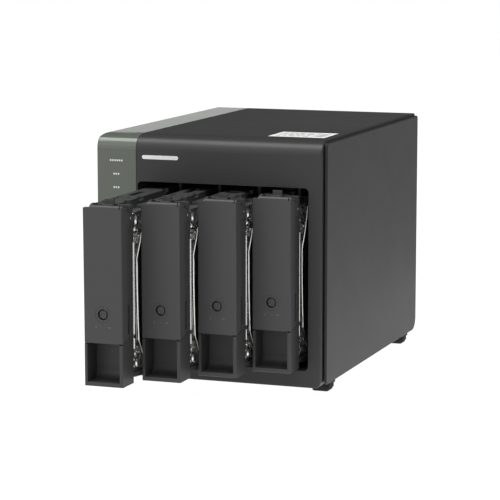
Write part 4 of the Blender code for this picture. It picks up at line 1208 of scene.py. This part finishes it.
def make_jack_contacts(node):
    low, high = reach(node)
    middle = (low.z + high.z) / 2.0
    wires = []
    for step in range(8):
        z = middle + (step - 3.5) * 1.02
        wires.append(prism([(high.x - 1.65, high.y - 2.2), (high.x - 4.0, high.y - 10.4),
                            (high.x - 3.6, high.y - 10.6), (high.x - 1.61, high.y - 3.2)],
                           "Z", z - 0.23, z + 0.23))
    return gather(wires)


def make_light(low, high, face):
    lens = slab(low, high, 0.3, "Y", face - 1.0, face, 4)
    return soften(lens, 0.1, 2)


def build_network_jacks():
    for number in (1, 2):
        node = f"network_jack_{number}"
        low, high = reach(node)
        case_piece(make_jack_shell(node), f"jack_shell_{number}", "socket", (node,))
        case_piece(make_jack_insert(node), f"jack_insert_{number}", "contact")
        case_piece(make_jack_contacts(node), f"jack_contacts_{number}", "gold", slot="pin")
        for z, look in ((low.z + 1.15, "lamp"), (high.z - 3.55, "amber")):
            lens = make_light((low.x + 1.15, z), (low.x + 2.95, z + 2.4), high.y - 0.45)
            case_piece(lens, f"jack_{look}_{number}", look, slot="print")


def build_rear_usb():
    shell, low, high = socket_block("rear_usb_port", 0.4)
    tongues, pads = [], []
    for side in (-1.0, 1.0):
        x = (low.x + high.x) / 2.0 + side * 3.95
        cut(shell, slab((x - 2.7, low.z + 0.6), (x + 2.7, high.z - 0.6), 0.3, "Y", high.y - 12.0,
                        high.y + 1.0, 3))
        tongues.append(block((x - 2.1, high.y - 13.0, low.z + 1.3),
                             (x - 0.2, high.y - 1.5, high.z - 1.3)))
        for step in range(4):
            z = (low.z + high.z) / 2.0 + (step - 1.5) * 2.4
            pads.append(block((x - 0.22, high.y - 9.0, z - 0.5), (x - 0.08, high.y - 2.6, z + 0.5)))
    case_piece(soften(shell, 0.08, 1), "rear_usb_shell", "socket", ("rear_usb_port",))
    case_piece(soften(gather(tongues), 0.15, 2), "rear_usb_tongues", "blue", slot="contact")
    case_piece(gather(pads), "rear_usb_pads", "gold", slot="pin")


def build_module_cage():
    low, high = reach("sfp_cage")
    cage = block(tuple(low), tuple(high))
    cutters = [block((low.x + 0.5, high.y - 44.0, low.z + 0.5),
                     (high.x - 0.5, high.y + 1.0, high.z - 0.5))]
    for step in range(4):
        z = low.z + 2.4 + step * 3.2
        cutters.append(block((high.x - 1.0, high.y - 9.0, z), (high.x + 1.0, high.y - 1.6, z + 0.6)))
    for y in (14.0, 22.0, 30.0):
        cutters.append(rod((high.y - y, (low.z + high.z) / 2.0), 1.2, "X",
                           high.x - 1.0, high.x + 1.0, 24))
    cut(cage, *cutters)
    case_piece(soften(cage, 0.06, 1), "module_cage", "socket", ("sfp_cage",))
    heart = block((low.x + 1.2, high.y - 43.5, low.z + 2.0), (high.x - 1.2, high.y - 34.0, high.z - 2.0))
    cut(heart, block((low.x + 3.6, high.y - 40.0, low.z + 3.4),
                     (low.x + 5.4, high.y - 30.0, high.z - 3.4)))
    case_piece(soften(heart, 0.15), "module_plug", "contact")


def build_power_inlet():
    jack, low, high = socket_block("dc_jack", 0.4)
    middle = ((low.x + high.x) / 2.0, (low.z + high.z) / 2.0)
    hole = turned(middle, ((3.1, high.y - 10.0), (3.1, high.y - 0.8), (4.3, high.y + 0.4)), "Y", 64)
    case_piece(soften(cut(jack, hole), 0.1, 1), "power_inlet", "contact", ("dc_jack",))
    pin = turned(middle, ((1.05, high.y - 10.2), (1.05, high.y - 1.2), (0.6, high.y - 0.7)), "Y", 32)
    case_piece(soften(pin, 0.1, 1), "power_inlet_pin", "socket")


def build_front_usb():
    low, high = reach("front_usb_port")
    middle = (low.z + high.z) / 2.0
    shell = slab((low.x, low.z), (high.x, high.z), 0.5, "Y", low.y, high.y, 4)
    cut(shell, slab((low.x + 0.5, low.z + 0.5), (high.x - 0.5, high.z - 0.5), 0.3, "Y", low.y - 1.0, 11.0,
                    4))
    case_piece(soften(shell, 0.08, 1), "front_usb_shell", "socket", ("front_usb_port",))
    tongue = block((low.x + 1.2, 1.6, middle + 0.2), (high.x - 1.2, 11.5, middle + 1.9))
    case_piece(soften(tongue, 0.15), "front_usb_tongue", "blue", slot="contact")


def make_foot(node):
    """A stepped rubber foot: a rounded pad under a wider base with a groove between."""
    low, high = reach(node)
    middle = ((low.x + high.x) / 2.0, (low.y + high.y) / 2.0)
    rings = []
    for half, radius in ((5.1, 1.6), (5.7, 1.8), (5.7, 1.8), (6.45, 2.2), (6.45, 2.2), (6.1, 2.0),
                         (6.1, 2.0), (7.0, 1.2), (7.0, 1.2)):
        rings.append(rounded((middle[0] - half, middle[1] - half),
                             (middle[0] + half, middle[1] + half), radius))
    foot = loft(rings, "Z", (0.0, 0.5, 1.2, 1.9, 4.2, 4.4, 4.7, 4.8, high.z))
    return soften(foot, 0.1, 1)


def make_base_pan():
    """The folded floor of the case with vents and pressed stiffening ribs."""
    low, high = reach("base_pan")
    outer, inner = high.x, high.x - SHEET
    top = low.z + SHEET
    outline = ([(outer, high.z), (inner, high.z)] + [(inner, top), (-inner, top)]
               + [(-inner, high.z), (-outer, high.z)]
               + arc((2.0 - outer, low.z + 2.0), 2.0, 180.0, 270.0, 6)
               + arc((outer - 2.0, low.z + 2.0), 2.0, 270.0, 360.0, 6))
    pan = prism(outline, "Y", low.y, high.y)
    cutters = []
    for column in range(5):
        x = (column - 2) * 22.0
        for y in (86.0, 92.0, 98.0, 104.0):
            cutters.append(prism(pill((x, y), 14.0, 3.0), "Z", low.z - 2.0, top + 2.0))
    for x in (-45.0, 45.0):
        cutters.append(prism(pill((x, 150.0), 6.0, 60.0), "Z", low.z - 1.0, low.z + 0.4))
    cut(pan, *cutters)
    return soften(pan, 0.15)


def make_reset():
    """The reset pin about its own tip, on a square slider inside the case."""
    low, high = reach("reset_button")
    tip = high.y
    pin = turned((0.0, 0.0), ((1.2, low.y - tip), (1.2, -0.3), (0.9, 0.0)), "Y", 32)
    slider = block((low.x - BUTTON_X, low.y - tip, -2.5), (1.8, low.y - tip + 4.0, 2.5))
    return soften(join(pin, slider), 0.1, 1)


def build_back():
    case_piece(make_rear_panel(), "back_panel", "rear", ("rear_panel",))
    case_piece(make_fan_frame(), "fan_housing", "fan", ("fan_frame",))
    low = reach("fan_rotor")[0]
    axle = case_origin() + Vector((FAN[0], low.y - FAN_HUB_START, FAN[1])) * MM
    show(make_fan_rotor(), "fan_blades", "fan", "fan", axle, ("fan_rotor",))
    back = reach("fan_frame")[1].y
    sticker = cut(rod(FAN, 14.0, "Y", back - 0.5, back - 0.14, 64),
                  rod(FAN, 3.0, "Y", back - 2.0, back + 1.0, 32))
    case_piece(soften(sticker, 0.02, 1), "fan_sticker", "paper", slot="label")
    face = reach("rear_panel")[1].y
    case_piece(screws(FAN_CORNERS, "Y", face, 1.0, 3.6, 0.9, 32), "fan_screws", "lock", slot="pin")
    rim = ((-73.0, 12.8), (73.0, 12.8), (73.6, 153.5), (-73.6, 143.0), (0.0, 12.4), (13.0, 161.0))
    case_piece(screws(rim, "Y", face, 1.0, 2.6, 0.8, 32), "panel_screws", "screw", slot="pin")
    base = reach("base_pan")[0].z
    floor_screws = [(x, y) for x in (-70.0, 70.0) for y in (52.0, 118.0, 186.0)]
    case_piece(screws(floor_screws, "Z", base, -1.0, 2.4, 0.7, 32), "base_screws", "screw", slot="pin")
    case_piece(make_base_pan(), "base_tray", "steel", ("base_pan",))
    for name in ("front_left", "front_right", "rear_left", "rear_right"):
        case_piece(make_foot(f"foot_{name}"), f"rubber_{name}", "rubber", (f"foot_{name}",))
    tip = case_origin() + Vector((BUTTON_X, reach("reset_button")[1].y, RESET_Z)) * MM
    show(make_reset(), "reset_pin", "reset_button_body", "contact", tip, ("reset_button",))

    label = slab((-44.0, 11.0), (-6.0, 21.0), 0.8, "Y", face - 0.2, face + 0.05)
    case_piece(soften(label, 0.02, 1), "rear_label", "paper", slot="label")
    dice = random.Random(5)
    bars = []
    for z in (18.6, 16.6, 14.6):
        x = -42.0
        while x < -24.0:
            length = dice.uniform(1.6, 5.0)
            bars.append(slab((x, z), (x + length, z + 0.8), 0.2, "Y", face, face + 0.07, 2))
            x += length + 0.9
    for step in range(11):
        x = -19.5 + step * 1.05
        bars.append(slab((x, 12.6), (x + dice.uniform(0.25, 0.7), 19.4), 0.0, "Y", face, face + 0.07))
    case_piece(gather(bars), "rear_label_bars", "ink", slot="print")
    marks = []
    for node in REAR_SOCKETS:
        start, end = reach(node)
        marks.append(prism(pill((end.x + 3.6, (start.z + end.z) / 2.0), 1.0, 4.4), "Y",
                           face - 0.1, face + 0.05))
    marks.append(prism(pill((BUTTON_X + 5.0, RESET_Z), 1.0, 3.4), "Y", face - 0.1, face + 0.05))
    case_piece(soften(gather(marks), 0.02, 1), "socket_marks", "print")


# ------------------------------------------------------------------- stage

def build_stage():
    """A pale floor, a bright low horizon under a dimmer sky, and soft lights."""
    made = bmesh.new()
    reach = 12.0
    corners = [made.verts.new((x, y, 0.0)) for x, y in
               ((-reach, -reach), (reach, -reach), (reach, reach), (-reach, reach))]
    made.faces.new(corners)
    floor = as_object(made)
    floor.name = "floor"
    paint = Paint("floor_pale")
    paint.feed(Base_Color=(0.12, 0.12, 0.12, 1.0), Roughness=0.9, Specular_IOR_Level=0.1)
    paint.feed(Emission_Color=(1.0, 1.0, 1.0, 1.0), Emission_Strength=0.98)
    floor.data.materials.append(paint.material)
    floor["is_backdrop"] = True

    world = bpy.data.worlds.new("studio")
    bpy.context.scene.world = world
    world.use_nodes = True
    tree = world.node_tree
    direction = tree.nodes.new("ShaderNodeTexCoord")
    parts = tree.nodes.new("ShaderNodeSeparateXYZ")
    ramp = tree.nodes.new("ShaderNodeValToRGB")
    tree.links.new(direction.outputs["Generated"], parts.inputs[0])
    tree.links.new(parts.outputs["Z"], ramp.inputs["Fac"])
    stops = ((0.0, 0.78), (0.10, 0.78), (0.15, 0.22), (0.32, 0.10))
    points = ramp.color_ramp.elements
    while len(points) < len(stops):
        points.new(0.5)
    for point, (place, grey) in zip(points, stops):
        point.position = place
        point.color = (grey, grey, grey, 1.0)
    background = tree.nodes["Background"]
    tree.links.new(ramp.outputs["Color"], background.inputs["Color"])
    background.inputs["Strength"].default_value = 1.0

    aim = TARGET
    lamps = (("overhead", (0.0, -0.33, 1.75), (0.0, -0.33, 0.0), 2.4, 0.95, 45.0),
             ("front_high", (0.0, -1.35, 1.45), aim, 2.4, 1.3, 14.0),
             ("front_low", (-0.3, -2.3, 0.75), aim, 2.6, 1.1, 9.0),
             ("low_right", (0.15, 0.2, 0.003), (0.15, 0.2, 1.0), 0.14, 0.6, 0.22))
    for name, place, target, width, height, power in lamps:
        lamp = bpy.data.lights.new(name, "AREA")
        lamp.shape = "RECTANGLE"
        lamp.size, lamp.size_y = width, height
        lamp.energy = power
        item = add_object(name, lamp)
        item.location = place
        towards = Vector(target) - Vector(place)
        item.rotation_euler = towards.to_track_quat("-Z", "Y").to_euler()


def build_camera():
    turn, rise = math.radians(CAMERA_AZIMUTH), math.radians(CAMERA_ELEVATION)
    back = Vector((math.sin(turn) * math.cos(rise), -math.cos(turn) * math.cos(rise), math.sin(rise)))
    view = bpy.data.cameras.new("camera")
    view.lens = CAMERA_LENS
    view.clip_end = 60.0
    item = add_object("camera", view)
    item.location = TARGET + back * CAMERA_DISTANCE
    item.rotation_euler = (-back).to_track_quat("-Z", "Y").to_euler()
    bpy.context.scene.camera = item


build_camera()
build_stage()
build_front()
build_label()
build_trays()
build_drives()
build_back()
build_network_jacks()
build_rear_usb()
build_module_cage()
build_power_inlet()
build_front_usb()

for node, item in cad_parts.items():
    for prefix, look in KEPT_NODES:
        if node.startswith(prefix):
            item.material_slots[0].material = LOOKS[look]

bpy.context.scene.view_settings.view_transform = "Standard"


def corners(box):
    return [list(box[0]), list(box[1])]


{"cad": corners(cad_box), "visual": corners(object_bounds())}
